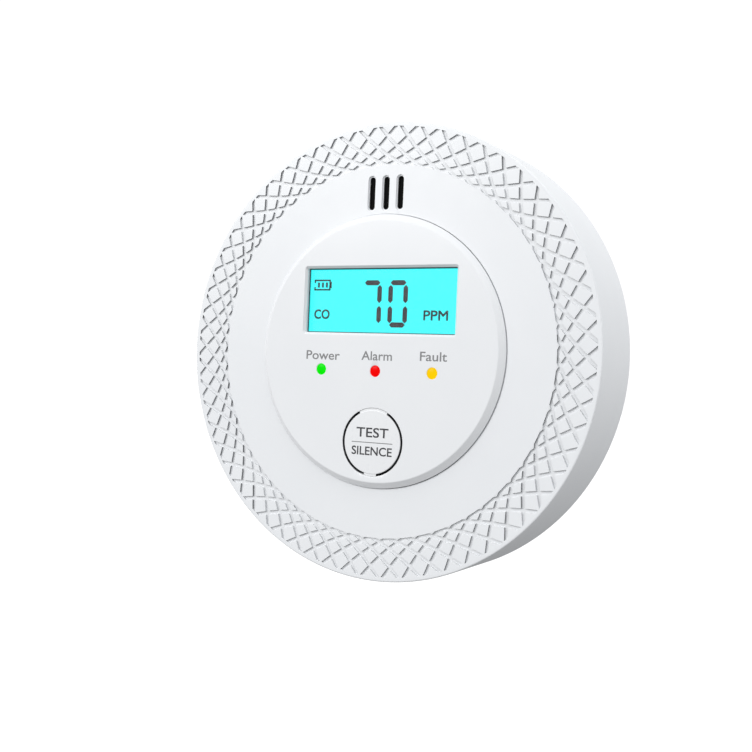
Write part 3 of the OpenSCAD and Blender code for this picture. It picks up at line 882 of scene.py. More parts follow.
@dataclass
class Studio:
    """Camera, soft lights, pale floor and backdrop.

    Args:
        target: the point the camera looks at, in metres.
        yaw: how far the camera stands to the detector's right, in degrees.
        pitch: how far it stands above, in degrees.
        roll: how far it is turned about its own axis, in degrees.
        distance: from the camera to the target, in metres.
        lens: focal length in mm on a 36 mm sensor.
        floor_z: height of the floor, in metres.
        sky: strength of the sky light from below and from above.
    """

    target: Vector = field(default_factory=lambda: Vector((-0.00042, -0.0267, -0.00482)))
    yaw: float = 29.006
    pitch: float = 0.056
    roll: float = 2.431
    distance: float = 0.21219
    lens: float = 52.39
    floor_z: float = -0.17
    sky: Point = (0.275, 1.06)

    def camera(self) -> None:
        """Makes the camera."""
        yaw, pitch, roll = (math.radians(a) for a in (self.yaw, self.pitch, self.roll))
        back = Vector((math.sin(yaw) * math.cos(pitch), -math.cos(yaw) * math.cos(pitch), math.sin(pitch)))
        level = (-back).cross(Vector((0, 0, 1))).normalized()
        above = level.cross(-back)
        right = level * math.cos(roll) + above * math.sin(roll)
        up = above * math.cos(roll) - level * math.sin(roll)
        data = bpy.data.cameras.new("camera")
        data.lens = self.lens
        data.sensor_width = 36.0
        data.clip_start = 0.005
        data.dof.use_dof = False
        camera = bpy.data.objects.new("camera", data)
        turn = Matrix((right, up, back)).transposed()
        camera.matrix_world = Matrix.Translation(self.target + back * self.distance) @ turn.to_4x4()
        bpy.context.scene.collection.objects.link(camera)
        bpy.context.scene.camera = camera

    def lamp(self, name: str, place: Vector, size: float, power: float) -> None:
        """Adds one soft square white light that faces the detector.

        Args:
            name: the light's name.
            place: where it stands, in metres.
            size: width of its face, in metres.
            power: its power, in watts.
        """
        data = bpy.data.lights.new(name, "AREA")
        data.size = size
        data.energy = power
        lamp = bpy.data.objects.new(name, data)
        lamp.location = place
        lamp.rotation_euler = (-place).to_track_quat("-Z", "Y").to_euler()
        bpy.context.scene.collection.objects.link(lamp)

    def sky_light(self) -> None:
        """Makes the pale sky, which is brighter above than below."""
        world = bpy.data.worlds.new("studio")
        world.use_nodes = True
        nodes, links = world.node_tree.nodes, world.node_tree.links
        background = nodes["Background"]
        background.inputs["Color"].default_value = (0.97, 0.985, 1.0, 1.0)
        height = nodes.new("ShaderNodeSeparateXYZ")
        links.new(nodes.new("ShaderNodeTexCoord").outputs["Generated"], height.inputs[0])
        sky = nodes.new("ShaderNodeMapRange")
        sky.interpolation_type = "SMOOTHSTEP"
        low, high = self.sky
        for name, value in (("From Min", -0.6), ("From Max", 0.6), ("To Min", low), ("To Max", high)):
            sky.inputs[name].default_value = value
        links.new(height.outputs["Z"], sky.inputs["Value"])
        links.new(sky.outputs["Result"], background.inputs["Strength"])
        bpy.context.scene.world = world

    def surroundings(self) -> None:
        """Makes the pale floor and the white backdrop."""
        half = 6.0
        work = bmesh.new()
        corners = ((-half, -half), (half, -half), (half, half), (-half, half))
        work.faces.new([work.verts.new((x, y, self.floor_z)) for x, y in corners])
        bmesh.ops.subdivide_edges(work, edges=work.edges, cuts=6, use_grid_fill=True)
        floor = new_piece("floor", work)
        backdrop = bpy.data.materials.new("backdrop white")
        backdrop.use_nodes = True
        shader = backdrop.node_tree.nodes["Principled BSDF"]
        shader.inputs["Base Color"].default_value = (0, 0, 0, 1)
        shader.inputs["Emission Color"].default_value = (1, 1, 1, 1)
        shader.inputs["Emission Strength"].default_value = 1.05
        work = bmesh.new()
        bmesh.ops.create_icosphere(work, subdivisions=4, radius=half)
        dome = new_piece("backdrop", work)
        for piece in (floor, dome):
            piece.data.materials.append(backdrop)
            for ray in ("visible_diffuse", "visible_glossy", "visible_transmission", "visible_shadow"):
                setattr(piece, ray, False)

    def light(self) -> None:
        """Adds the soft lights."""
        self.lamp("front", Vector((0.12, -1.3, 0.1)), 0.7, 0.3)
        self.lamp("upper_left", Vector((-0.7, -1.1, 0.5)), 0.6, 7.2)
        self.lamp("right", Vector((1.2, -0.1, 0.3)), 0.6, 1.5)
        self.lamp("upper_right", Vector((0.55, -0.05, 1.0)), 0.6, 0.7)
        bpy.context.scene.view_settings.view_transform = "Standard"


# ---------- case ----------


@dataclass
class FrontShell:
    """The round case: side wall, face and the lattice band of pads.

    Args:
        case_r: outside radius.
        back_z: level of the side wall's back edge.
        rim_z: level of the face.
        wall: thickness of the side wall.
        front: thickness of the front wall.
        band: inner and outer radius of the lattice band.
        lattice_w: distance from the first ring of crossings to the case's edge.
        first_gap: distance between the first two rings of crossings.
        growth: how many times wider each gap between rings is than the one before.
        groove_w: width of the grooves.
        groove_depth: their depth.
        pads: pads in one row.
        edge: rounding of the pads' edges.
        seat: radius and level of the seat for the fascia.
        opening_r: radius of the opening behind the fascia.
        case_post: bore radius, radius and back level of a post for a case screw.
        case_post_ring: distance of those posts from the axis.
        board_post: bore radius, radius and back level of a post for a board screw.
        board_post_at: how far those posts are to each side, and their height.
        sounder_y: height of the sounder and of the slots.
        sounder_wall: inner radius, outer radius and back level of the wall round the sounder.
        recess: radius of the recess behind the slots, and its distance from the face.
        slot: width and length of a slot.
        slot_lip: how much wider the recessed lip round a slot is.
        slot_lip_depth: depth of that lip.
        slot_pitch: distance between the slots.
        pocket: width, height and back level of the pocket for the display's frame.
        pocket_y: height of the middle of that pocket.
    """

    case_r: float = 44.5
    back_z: float = 9.7
    rim_z: float = 26.7
    wall: float = 2.0
    front: float = 2.5
    band: Point = (36.15, 43.6)
    lattice_w: float = 8.43
    first_gap: float = 0.86
    growth: float = 1.34
    groove_w: float = 0.75
    groove_depth: float = 0.4
    pads: int = 60
    edge: float = 0.04
    seat: Point = (26.62, 25.7)
    opening_r: float = 24.6
    case_post: tuple[float, float, float] = (1.25, 2.9, 11.55)
    case_post_ring: float = 36.9
    board_post: tuple[float, float, float] = (1.0, 2.4, 20.6)
    board_post_at: Point = (24.0, -24.0)
    sounder_y: float = 30.7
    sounder_wall: tuple[float, float, float] = (10.5, 11.5, 21.5)
    recess: Point = (5.9, 0.75)
    slot: Point = (1.2, 6.4)
    slot_lip: float = 0.4
    slot_lip_depth: float = 0.35
    slot_pitch: float = 3.1
    pocket: tuple[float, float, float] = (40.2, 19.5, 20.5)
    pocket_y: float = 9.75

    def cross_r(self, row: int) -> float:
        """Gives the radius of a ring on which the grooves cross."""
        return self.case_r - self.lattice_w + self.first_gap * (self.growth ** row - 1) / (self.growth - 1)

    def slope(self, row: int) -> float:
        """Gives the angle between a groove and the ring it crosses, in radians."""
        across = 2 * math.pi / self.pads * self.cross_r(row)
        return math.atan((self.cross_r(row + 1) - self.cross_r(row - 1)) / across)

    def pad(self, row: int) -> Outline:
        """Gives the outline of one pad at the top of the face.

        Args:
            row: the ring at the pad's inner corner.

        Returns:
            The pad's four corners, anticlockwise.
        """
        limit = self.case_r - 0.32
        turn = math.pi / self.pads - self.groove_w / 2 / math.sin(self.slope(row + 1)) / self.cross_r(row + 1)
        side = min(self.cross_r(row + 1), limit)
        inner = max(self.cross_r(row) + self.groove_w / 2 / math.cos(self.slope(row)), self.band[0] - 0.6)
        outer = min(self.cross_r(row + 2) - self.groove_w / 2 / math.cos(self.slope(row + 2)), limit)
        across, up = side * math.sin(turn), side * math.cos(turn)
        return [(0.0, inner), (across, up), (0.0, outer), (-across, up)]

    def row_of_pads(self, row: int) -> bpy.types.Object:
        """Makes one row of pads with rounded edges.

        Args:
            row: the ring at the pads' inner corners.

        Returns:
            The row.
        """
        outline = self.pad(row)
        steps = [(0.0, self.edge), (0.3 * self.edge, 0.3 * self.edge), (self.edge, 0.0)]
        outlines = [outline] + [inset(outline, shrink) for shrink, _ in steps]
        levels = [self.rim_z - self.groove_depth - 0.12] + [self.rim_z - drop for _, drop in steps]
        work = bmesh.new()
        for k in range(self.pads):
            angle = math.pi / self.pads * (2 * k + abs(row) % 2)
            cos, sin = math.cos(angle), math.sin(angle)
            turned_outlines = [[(x * cos + y * sin, y * cos - x * sin) for x, y in o] for o in outlines]
            add_stack(work, turned_outlines, levels)
        return new_piece("pads", work)

    def slot_tools(self, x: float) -> list[bpy.types.Object]:
        """Makes the two tools that cut one slot and its recessed lip.

        Args:
            x: middle of the slot.

        Returns:
            The two tools.
        """
        (width, length), top, y = self.slot, self.rim_z, self.sounder_y
        through = oblong(x, y, width, length, width / 2, 8)
        bore = stacked("bore", [through, through], [top - 1.0, top + 0.2])
        levels = [top - self.slot_lip_depth, top - 0.1, top - 0.03, top, top + 0.2]
        extras = [self.slot_lip + flare for flare in (0.0, 0.0, 0.05, 0.16, 0.16)]
        outlines = [oblong(x, y, width + extra, length + extra, 10.0, 8) for extra in extras]
        return [bore, stacked("lip", outlines, levels)]

    def blank(self) -> bpy.types.Object:
        """Turns the plain case and lays the rows of pads in its band.

        Returns:
            The case.
        """
        inner_r, front_z = self.case_r - self.wall, self.rim_z - self.front
        floor_z = self.rim_z - self.groove_depth
        section = rounded([
            (self.case_r, self.back_z, 0.3), (self.case_r, self.rim_z, 0.3),
            (self.band[1], self.rim_z, self.edge), (self.band[1], floor_z, 0.0),
            (self.band[0], floor_z, 0.0), (self.band[0], self.rim_z, self.edge),
            (self.seat[0], self.rim_z, 0.12), (self.seat[0], self.seat[1], 0.0),
            (self.opening_r, self.seat[1], 0.1), (self.opening_r, front_z, 0.1),
            (inner_r, front_z, 0.6), (inner_r, self.back_z, 0.15)])
        shell = turned("front_case", section)
        for row in range(-1, 5):
            work_in(shell, self.row_of_pads(row), Join.ADD)
        return shell

    def add_posts(self, shell: bpy.types.Object) -> None:
        """Adds the screw posts and the wall round the sounder behind the face.

        Args:
            shell: the case.
        """
        root = self.rim_z - self.front + 0.3
        turns = [math.radians(angle) for angle in (20, 160, 270)]
        ring, (side, height) = self.case_post_ring, self.board_post_at
        places = [(ring * math.cos(turn), ring * math.sin(turn), self.case_post) for turn in turns]
        places += [(-side, height, self.board_post), (side, height, self.board_post)]
        for x, y, (bore, radius, back) in places:
            post = rounded([(bore, back, 0.1), (radius, back, 0.2), (radius, root, 0), (bore, root, 0)])
            work_in(shell, turned("post", post, (x, y, 0), steps=64), Join.ADD)
        inner, outer, back = self.sounder_wall
        wall = rounded([(inner, back, 0.2), (outer, back, 0.2), (outer, root, 0), (inner, root, 0)])
        work_in(shell, turned("wall", wall, (0, self.sounder_y, 0), steps=128), Join.ADD)

    def cut_openings(self, shell: bpy.types.Object) -> None:
        """Cuts the recess behind the slots, clear of the fascia's seat, the slots and the display's pocket.

        Args:
            shell: the case.
        """
        back, trim_r = self.rim_z - self.front, self.seat[0] + 0.4
        recess_r, recess_z = self.recess[0], self.rim_z - self.recess[1]
        section = [(0, back - 0.5), (recess_r, back - 0.5), (recess_r, recess_z), (0, recess_z)]
        recess = turned("recess", section, (0, self.sounder_y, 0), steps=96)
        trim = [(0, back - 1), (trim_r, back - 1), (trim_r, self.rim_z), (0, self.rim_z)]
        work_in(recess, turned("rim", trim), Join.CUT)
        work_in(shell, recess, Join.CUT)
        for x in (-self.slot_pitch, 0.0, self.slot_pitch):
            for tool in self.slot_tools(x):
                work_in(shell, tool, Join.CUT)
        width, height, pocket_z = self.pocket
        outline = oblong(0, self.pocket_y, width, height, 0.4)
        work_in(shell, stacked("pocket", [outline, outline], [pocket_z, self.seat[1]]), Join.CUT)

    def paint_shade(self, shell: bpy.types.Object) -> None:
        """Paints shade on the walls of the grooves and of the slots, as finishes of their own.

        Args:
            shell: the case.
        """
        low, high = self.rim_z - self.groove_depth + 0.02, self.rim_z - 0.02
        slot_low, slot_high = self.rim_z - 0.9, self.rim_z - self.slot_lip_depth - 0.01
        middle_r, reach = sum(self.band) / 2, (self.band[1] - self.band[0]) / 2 + 0.475

        def on_wall(middle: Vector, normal: Vector) -> bool:
            """Tells if a face is part of a groove's wall."""
            near = abs(math.hypot(middle.x, middle.y) - middle_r) < reach
            return near and low < middle.z < high and abs(normal.z) < 0.5

        def in_slot(middle: Vector, normal: Vector) -> bool:
            """Tells if a face is part of a slot's wall behind its lip.

            Args:
                middle: the face's middle.
                normal: its normal.

            Returns:
                True if it is.
            """
            across, up = abs(middle.x), abs(middle.y - self.sounder_y)
            near = across < self.slot_pitch + 1.0 and up < self.slot[1] / 2 + 0.4
            return near and slot_low < middle.z < slot_high and abs(normal.z) < 0.5

        # Painted shade: every groove wall a little darker, the walls that don't face up much darker, and the
        # slots' walls behind their lips near black.
        paint(shell, GROOVE_FAINT_SHADE, on_wall)
        paint(shell, GROOVE_DEEP_SHADE, lambda middle, normal: on_wall(middle, normal) and normal.y < 0.1)
        paint(shell, GAP_SHADE, in_slot)

    def build(self) -> None:
        """Makes the case and sets it in place."""
        shell = self.blank()
        self.add_posts(shell)
        self.cut_openings(shell)
        shade(shell)
        self.paint_shade(shell)
        install(shell, "housing", CASE_WHITE, "case_white", "front_shell")


@dataclass
class Fascia:
    """The raised round plate with the window, the lamp holes and the button hole.

    Args:
        foot_r: radius at its foot.
        top_r: radius at its front.
        back_z: level of its back.
        step_z: level at which its edge starts to slope.
        top_z: level of its front.
        window: width and height of the window at the front of its chamfer.
        chamfer: width of that chamfer.
        window_y: height of the window's centre.
        lens_front_z: level of the lens in its pocket.
        lamp_pitch: distance between the lamps.
        lamp_y: height of the lamps.
        lamp_hole_r: radius of a lamp's hole.
        button_y: height of the button.
        button_hole_r: radius of the button's hole.
        light_bottom: half the width of the stretch at the bottom of that hole's wall that gets no painted
            shade.
        light_top: half the angle of the stretch at its top that gets no painted shade, in degrees.
        stem: inner and outer radius of a clip's stem.
        hook: inner and outer radius of a clip's hook.
        clip_z: lowest and highest level of a hook.
    """

    foot_r: float = 26.52
    top_r: float = 25.4
    back_z: float = 25.7
    step_z: float = 27.05
    top_z: float = 27.975
    window: Point = (33.8, 13.6)
    chamfer: float = 0.45
    window_y: float = 9.75
    lens_front_z: float = 26.75
    lamp_pitch: float = 12.2
    lamp_y: float = -3.9
    lamp_hole_r: float = 1.13
    button_y: float = -17.6
    button_hole_r: float = 6.6
    light_bottom: float = 2.4
    light_top: float = 28.0
    stem: Point = (23.4, 24.5)
    hook: Point = (24.3, 25.1)
    clip_z: Point = (23.2, 24.15)

    def hole(self, x: float, y: float, radius: float, flare: float) -> bpy.types.Object:
        """Makes the tool for a round hole with a rounded front edge.

        Args:
            x: middle of the hole.
            y: middle of the hole.
            radius: its radius.
            flare: how much its front edge widens.

        Returns:
            The tool.
        """
        top, wide = self.top_z, radius + flare
        section = [(0, self.back_z - 0.5), (radius, self.back_z - 0.5), (radius, top - flare),
                   (radius + 0.3 * flare, top - 0.3 * flare), (wide, top), (wide, top + 0.3), (0, top + 0.3)]
        return turned("hole", section, (x, y, 0), steps=96)

    def build(self) -> None:
        """Makes the fascia and sets it in place."""
        section = rounded([
            (0, self.back_z, 0), (self.foot_r, self.back_z, 0.1), (self.foot_r, self.step_z, 0.06),
            (self.top_r, self.top_z, 0.4), (0, self.top_z, 0)], 6)
        plate = turned("fascia", section)
        for angle in (0, 62, 118, 180, 240, 300):
            stem = arc_outline(*self.stem, angle, 10)
            work_in(plate, stacked("clip", [stem, stem], [self.clip_z[0], self.back_z + 0.1]), Join.ADD)
            hook = arc_outline(*self.hook, angle, 10)
            work_in(plate, stacked("hook", [hook, hook], list(self.clip_z)), Join.ADD)
        width, height = self.window
        slope = self.chamfer
        flares = (0.0, 0.0, slope, slope + 0.3)
        levels = [self.back_z - 0.5, self.top_z - slope, self.top_z, self.top_z + 0.3]
        outlines = [oblong(0, self.window_y, width - 2 * slope + 2 * f, height - 2 * slope + 2 * f, 0.2 + f)
                    for f in flares]
        work_in(plate, stacked("window", outlines, levels), Join.CUT)
        pocket = oblong(0, self.window_y, width + 2, height + 2, 0.4)
        work_in(plate, stacked("pocket", [pocket, pocket], [self.back_z - 0.5, self.lens_front_z]), Join.CUT)
        for x in (-self.lamp_pitch, 0.0, self.lamp_pitch):
            work_in(plate, self.hole(x, self.lamp_y, self.lamp_hole_r, 0.05), Join.CUT)
        work_in(plate, self.hole(0, self.button_y, self.button_hole_r, 0.1), Join.CUT)
        shade(plate)

        def in_hole(middle: Vector, normal: Vector) -> bool:
            """Tells if a face is part of the button hole's wall, clear of the button's guide pads.

            Args:
                middle: the face's middle.
                normal: its normal; not used.

            Returns:
                True if it is.
            """
            across, up = middle.x, middle.y - self.button_y
            from_top = abs(math.degrees(math.atan2(up, across)) % 360 - 90)
            on_wall = abs(math.hypot(across, up) - self.button_hole_r) < 0.04 and middle.z < self.top_z - 0.1
            return on_wall and abs(across) > self.light_bottom and from_top > self.light_top

        # Painted shade: the button hole's wall near black, where the gap is in shade, except the stretches
        # beside the guide pads.
        paint(plate, GAP_SHADE, in_hole)
        install(plate, "housing", FASCIA_WHITE, "case_white", "fascia_panel")
        self.legends()

    def legends(self) -> None:
        """Prints the lamps' names above them."""
        for name, words, centre, width in (
                ("legend_power", "Power", (-11.9, -1.12), 7.65),
                ("legend_alarm", "Alarm", (0.25, -0.95), 6.65),
                ("legend_fault", "Fault", (12.4, -0.75), 5.6)):
            piece = lettering(name, words, centre, width, 1.72, ink_levels(self.top_z), 0.04)
            install(piece, "housing", GREY_INK, "case_white")


@dataclass
class TestButton:
    """The round button, flush with the fascia, with its guide pads and legends.

    Args:
        centre: the button's centre.
        cap_r: radius of the cap.
        hole_r: radius of its hole.
        flange_r: radius of the flange behind the fascia.
        back_z: level of its back.
        flange_z: level of the flange's front.
        top_z: level of its front.
        reach: distance from the detector's axis at which the flange is trimmed.
        guides: middle angle and span of each guide pad in the gap, in degrees.
    """

    centre: Point = (0.0, -17.6)
    cap_r: float = 6.15
    hole_r: float = 6.6
    flange_r: float = 7.4
    back_z: float = 24.95
    flange_z: float = 25.65
    top_z: float = 27.975
    reach: float = 24.4
    guides: tuple[Point, ...] = ((90, 56), (268, 24))

    def build(self) -> None:
        """Makes the button and sets it in place."""
        x, y = self.centre
        section = rounded([
            (0, self.back_z, 0), (self.flange_r, self.back_z, 0.1), (self.flange_r, self.flange_z, 0.1),
            (self.cap_r, self.flange_z, 0), (self.cap_r, self.top_z, 0.12), (0, self.top_z, 0)])
        cap = turned("button", section, (x, y, 0), steps=192)
        for mid, span in self.guides:
            outline = arc_outline(self.cap_r - 0.25, self.hole_r - 0.05, mid, span, 24, self.centre)
            tool = stacked("guide", [outline, outline], [self.back_z, self.top_z - 0.1])
            work_in(cap, tool, Join.ADD)
        disc = [(0, self.back_z - 0.5), (self.reach, self.back_z - 0.5), (self.reach, self.top_z + 0.5),
                (0, self.top_z + 0.5)]
        work_in(cap, turned("trim", disc), Join.KEEP)
        shade(cap)

        def in_gap(middle: Vector, normal: Vector) -> bool:
            """Tells if a face lines the gap, clear of the guide pads.

            Args:
                middle: the face's middle.
                normal: its normal; not used.

            Returns:
                True if it does.
            """
            across, up = middle.x - x, middle.y - y
            angle = math.degrees(math.atan2(up, across)) % 360
            clear = all(abs(angle - mid) > span / 2 for mid, span in self.guides)
            outside = math.hypot(across, up) > self.cap_r - 0.02
            return clear and outside and self.flange_z - 0.05 < middle.z < self.top_z - 0.15

        # Painted shade: the cap's side and the flange's front in the gap near black, except at the guide
        # pads.
        paint(cap, GAP_SHADE, in_gap)
        install(cap, "test_button", BUTTON_WHITE, "case_white", "test_button")
        self.legends()

    def legends(self) -> None:
        """Prints the button's two words and the line between them."""
        levels = ink_levels(self.top_z)
        for name, words, y, width, height in (
                ("legend_test", "TEST", -15.76, 6.98, 1.83),
                ("legend_silence", "SILENCE", -19.33, 8.78, 1.62)):
            piece = lettering(name, words, (0.0, y), width, height, levels, 0.06)
            install(piece, "test_button", DARK_INK, "case_white")
        line = oblong(0.0, -17.7, 9.0, 0.16, 0.07)
        install(stacked("legend_line", [line, line], list(levels)), "test_button", GREY_INK, "case_white")


@dataclass
class Display:
    """The window's lens, the lit panel behind it and what it shows.

    Args:
        panel_z: level of the panel's front.
        ink: height of the symbols on the panel.
        bar: width of a digit's bar.
        digit_w: distance between a digit's left and right bars.
        rows: middle of the bottom and top bars.
        upper: lowest and highest point of an upper side bar.
        lower: lowest and highest point of a lower side bar.
    """

    panel_z: float = 25.2
    ink: float = 0.03
    bar: float = 0.98
    digit_w: float = 3.3
    rows: Point = (5.2, 13.38)
    upper: Point = (9.4, 12.95)
    lower: Point = (5.5, 8.86)

    def levels(self) -> Point:
        """Gives the lowest and highest level of the symbols."""
        return (self.panel_z - 0.01, self.panel_z + self.ink)

    def bar_outline(self, segment: Segment, left: float) -> Outline:
        """Gives one bar of a digit, with pointed ends.

        Args:
            segment: which bar.
            left: middle of the digit's left side bars.

        Returns:
            The bar's outline, anticlockwise.
        """
        half, tip = self.bar / 2, 0.5
        level = {Segment.BOTTOM: self.rows[0], Segment.MIDDLE: sum(self.rows) / 2, Segment.TOP: self.rows[1]}
        if segment in level:
            y, x0, x1 = level[segment], left - 0.08, left + self.digit_w + 0.08
            return [(x0, y), (x0 + tip, y - half), (x1 - tip, y - half), (x1, y), (x1 - tip, y + half),
                    (x0 + tip, y + half)]
        right_side = segment in (Segment.UPPER_RIGHT, Segment.LOWER_RIGHT)
        x = left + (self.digit_w if right_side else 0.0)
        y0, y1 = self.upper if segment in (Segment.UPPER_RIGHT, Segment.UPPER_LEFT) else self.lower
        return [(x, y0), (x + half, y0 + tip), (x + half, y1 - tip), (x, y1), (x - half, y1 - tip),
                (x - half, y0 + tip)]

    def symbol(self, name: str, outlines: list[Outline], finish: Finish) -> None:
        """Lays one symbol, made of flat shapes, on the panel.

        Args:
            name: the piece's name.
            outlines: its shapes.
            finish: its ink.
        """
        work = bmesh.new()
        for outline in outlines:
            add_stack(work, [outline, outline], list(self.levels()))
        install(new_piece(name, work), "housing", finish, "lcd_face")

    def readout(self) -> None:
        """Lays the digits, the battery sign and the two words on the panel."""
        seven = [Segment.TOP, Segment.UPPER_RIGHT, Segment.LOWER_RIGHT]
        zero = [s for s in Segment if s is not Segment.MIDDLE]
        for name, left, shown in (("digit_seven", -4.32, seven), ("digit_zero", 1.42, zero)):
            self.symbol(name, [self.bar_outline(s, left) for s in shown], SEGMENT_INK)
        marks = [(-14.15, 13.9, 3.7, 0.3), (-14.2, 12.02, 3.7, 0.3), (-15.9, 13.7, 0.3, 0.66),
                 (-15.92, 12.22, 0.3, 0.66), (-12.42, 12.96, 0.3, 2.1), (-12.2, 12.96, 0.38, 1.3)]
        marks += [(x, 12.97, 0.42, 1.0) for x in (-15.03, -14.09, -13.15)]
        self.symbol("battery_sign", [oblong(*mark, 0.06, 2) for mark in marks], SYMBOL_INK)
        for name, words, x, width in (("word_co", "CO", -14.03, 3.5), ("word_ppm", "PPM", 11.33, 5.1)):
            word = lettering(name, words, (x, 7.12), width, 1.82, self.levels(), 0.09)
            install(word, "housing", SYMBOL_INK, "lcd_face")

    def build(self) -> None:
        """Makes the display."""
        refine("display_lens", 0.08, "housing", LENS_CLEAR, "lens_clear")
        # Painted shade and reflection: the gasket's dark teal stands for the shade and reflection along the
        # window's edges.
        refine("lens_gasket", 0.03, "housing", GASKET_EDGE_SHADE, "gasket_teal")
        refine("lcd_glass", 0.1, "housing", PANEL_CYAN, "lcd_face")
        refine("lcd_frame", 0.1, "housing", FRAME_PLASTIC, "frame_plastic")
        self.readout()
        dress_node("lcd_backlight", LIGHT_GUIDE)
        dress_node("zebra_strips", PINK_RUBBER)


@dataclass
class Lamps:
    """The three light rods and the lamps behind them.

    Args:
        pitch: distance between the lamps.
        y: their height on the face.
        radius: radius of a rod.
        collar: radius, back and front of its collar.
        back_z: level of a rod's back.
        top_z: level of a rod's domed front.
    """

    pitch: float = 12.2
    y: float = -3.9
    radius: float = 1.1
    collar: tuple[float, float, float] = (1.9, 24.6, 25.7)
    back_z: float = 22.7
    top_z: float = 27.95

    def build(self) -> None:
        """Makes the rods and dresses the lamps."""
        rim_r, low, high = self.collar
        section = rounded([
            (0, self.back_z, 0), (self.radius, self.back_z, 0.1), (self.radius, low, 0), (rim_r, low, 0.1),
            (rim_r, high, 0.1), (self.radius, high, 0), (self.radius, self.top_z - 0.12, 0.08),
            (0.6, self.top_z - 0.02, 0), (0, self.top_z, 0)])
        for name, x, finish, slot in (
                ("power", -self.pitch, LAMP_GREEN, "pipe_green"),
                ("alarm", 0.0, LAMP_RED, "pipe_red"),
                ("fault", self.pitch, LAMP_AMBER, "pipe_amber")):
            rod = turned("lamp_" + name, section, (x, self.y, 0), steps=64)
            shade(rod)
            install(rod, "housing", finish, slot, "light_pipe_" + name)
            dress_node("led_" + name, LAMP_BODY)


@dataclass
class BackParts:
    """The rear cover, the battery door and the wall bracket.

    Args:
        edge: rounding of their edges.
    """

    edge: float = 0.2

    def build(self) -> None:
        """Makes the parts behind the case."""
        for node, body in (
                ("rear_cover", "housing"), ("mounting_bracket", "bracket"), ("battery_door", "battery_door")):
            refine(node, self.edge, body, COVER_WHITE, "cover_white")


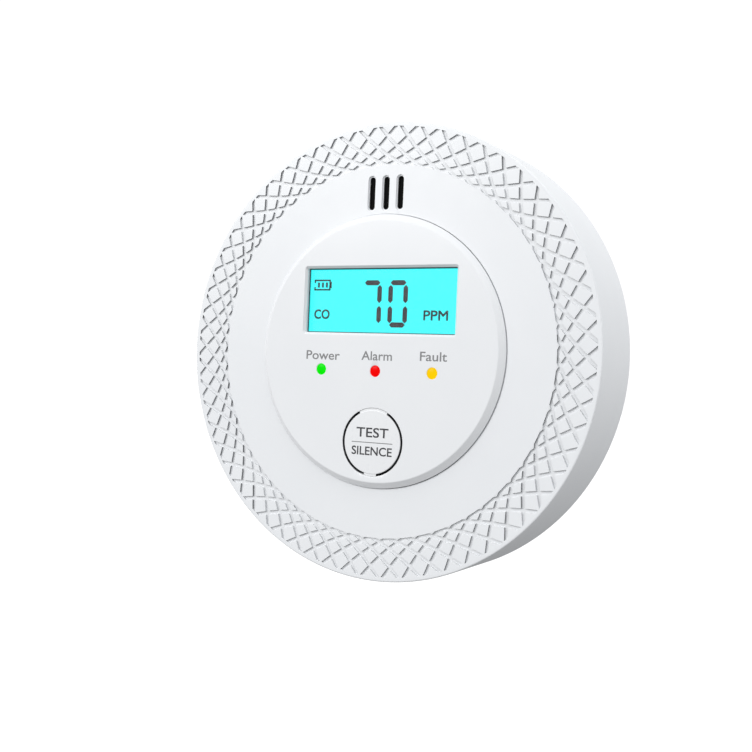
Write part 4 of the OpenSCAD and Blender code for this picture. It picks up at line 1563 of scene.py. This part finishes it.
@dataclass
class PowerPack:
    """The two cells with their springs and contacts.

    Args:
        length: length of a cell with its nub.
        radius: radius of a cell.
        half_x: half the length of the battery box.
        plate: thickness of a contact.
        y: height of the cells' axes above and below the middle.
        z: level of the cells' axes.
        wire: radius of the spring wire.
        spring: length, wide radius and narrow radius of a spring.
    """

    length: float = 50.5
    radius: float = 7.25
    half_x: float = 26.9
    plate: float = 0.4
    y: float = 7.35
    z: float = 10.2
    wire: float = 0.25
    spring: tuple[float, float, float] = (2.5, 5.2, 2.8)

    def cell(self, name: str, sign: int) -> None:
        """Makes one cell.

        Args:
            name: the node it stands for.
            sign: 1 if its positive end points right, -1 if left.
        """
        r, full = self.radius, self.length
        body = full - 1
        section = rounded([
            (0, 0.15, 0), (4.8, 0.15, 0), (5.3, 0, 0.1), (r, 0, 0.45), (r, body, 0.5), (4.4, body, 0.15),
            (4.2, body - 0.25, 0), (2.75, body - 0.25, 0.1), (2.75, full, 0.3), (0, full, 0)])
        facing = Facing.RIGHT if sign > 0 else Facing.LEFT
        start = (sign * (self.half_x - self.plate - full), sign * self.y, self.z)
        cell = turned(name + "_can", section, start, facing, 96)
        shade(cell)

        def bare(middle: Vector, normal: Vector) -> bool:
            """Tells if a face is part of the can that the jacket leaves bare."""
            along, away = sign * (middle.x - start[0]), math.hypot(middle.y - start[1], middle.z - start[2])
            return not 0.3 < along < body - 0.3 or away < r - 0.6

        paint(cell, CAN_STEEL, bare)
        install(cell, "housing", CELL_JACKET, "cell_jacket", name)

    def coil(self, name: str, sign: int) -> None:
        """Makes one conical spring.

        Args:
            name: the node it stands for.
            sign: 1 for the spring at the left end, -1 for the one at the right end.
        """
        length, wide, narrow = self.spring
        turns, steps = 3, 108
        path = []
        for i in range(steps + 1):
            t = i / steps
            angle = 2 * math.pi * turns * t
            radius = wide + (narrow - wide) * t
            along = self.wire + (length - 2 * self.wire) * t
            x = -sign * (self.half_x - self.plate - along)
            y = sign * self.y + radius * math.cos(angle)
            path.append(to_model(x, y, self.z + sign * radius * math.sin(angle)))
        spring = tube(name + "_wire", path, self.wire)
        shade(spring)
        install(spring, "housing", SPRING_STEEL, "spring_steel", name)

    def build(self) -> None:
        """Makes the cells and springs and dresses the contacts."""
        for place, sign in (("upper", 1), ("lower", -1)):
            self.cell("battery_" + place, sign)
            self.coil("battery_spring_" + place, sign)
        for node in ("contact_link", "contact_positive", "contact_negative"):
            refine(node, 0.08, "housing", TIN, "contact_tin")


@dataclass
class Electronics:
    """The circuit board and what stands on it, the gas sensor and the sounder.

    Args:
        kept: the nodes whose shape is kept, and their finishes.
        rounded_nodes: the nodes that get rounded edges, with the radius, finish and slot of each.
    """

    kept: dict[str, Finish] = field(default_factory=lambda: {
        "main_pcb": BOARD, "small_components": CERAMIC, "sensor_filter": FELT, "piezo_disc": BRASS,
        "sounder_leads": LEAD_RED, "dust_mesh": MESH_BLACK})
    rounded_nodes: dict[str, tuple[float, Finish, str, str]] = field(default_factory=lambda: {
        "switch_body": (0.1, SWITCH_BLACK, "switch_black", "housing"),
        "switch_plunger": (0.15, PLUNGER_RED, "switch_red", "switch_plunger"),
        "microcontroller": (0.06, CHIP_BLACK, "chip_black", "housing"),
        "reservoir_capacitor": (0.2, SLEEVE_BLUE, "cap_sleeve", "housing"),
        "boost_coil": (0.2, FERRITE, "ferrite", "housing"),
        "co_sensor": (0.3, CAN_STEEL, "sensor_metal", "housing"),
        "sounder_housing": (0.2, SOUNDER_BLACK, "sounder_black", "housing"),
        "case_screws": (0.1, SCREW_ZINC, "screw_zinc", "housing"),
        "pcb_screws": (0.1, SCREW_ZINC, "screw_zinc", "housing")})

    def build(self) -> None:
        """Dresses the board and makes the parts on it."""
        for node, finish in self.kept.items():
            dress_node(node, finish)
        for node, (radius, finish, slot, body) in self.rounded_nodes.items():
            refine(node, radius, body, finish, slot)


def main() -> None:
    """Builds the detector and its studio."""
    logging.basicConfig(level=logging.INFO, format="%(name)s %(message)s")
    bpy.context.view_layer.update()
    studio = Studio()
    studio.camera()
    studio.sky_light()
    studio.surroundings()
    studio.light()
    for assembly in (FrontShell, Fascia, TestButton, Display, Lamps, BackParts, PowerPack, Electronics):
        assembly().build()


if __name__ == "__main__":
    main()
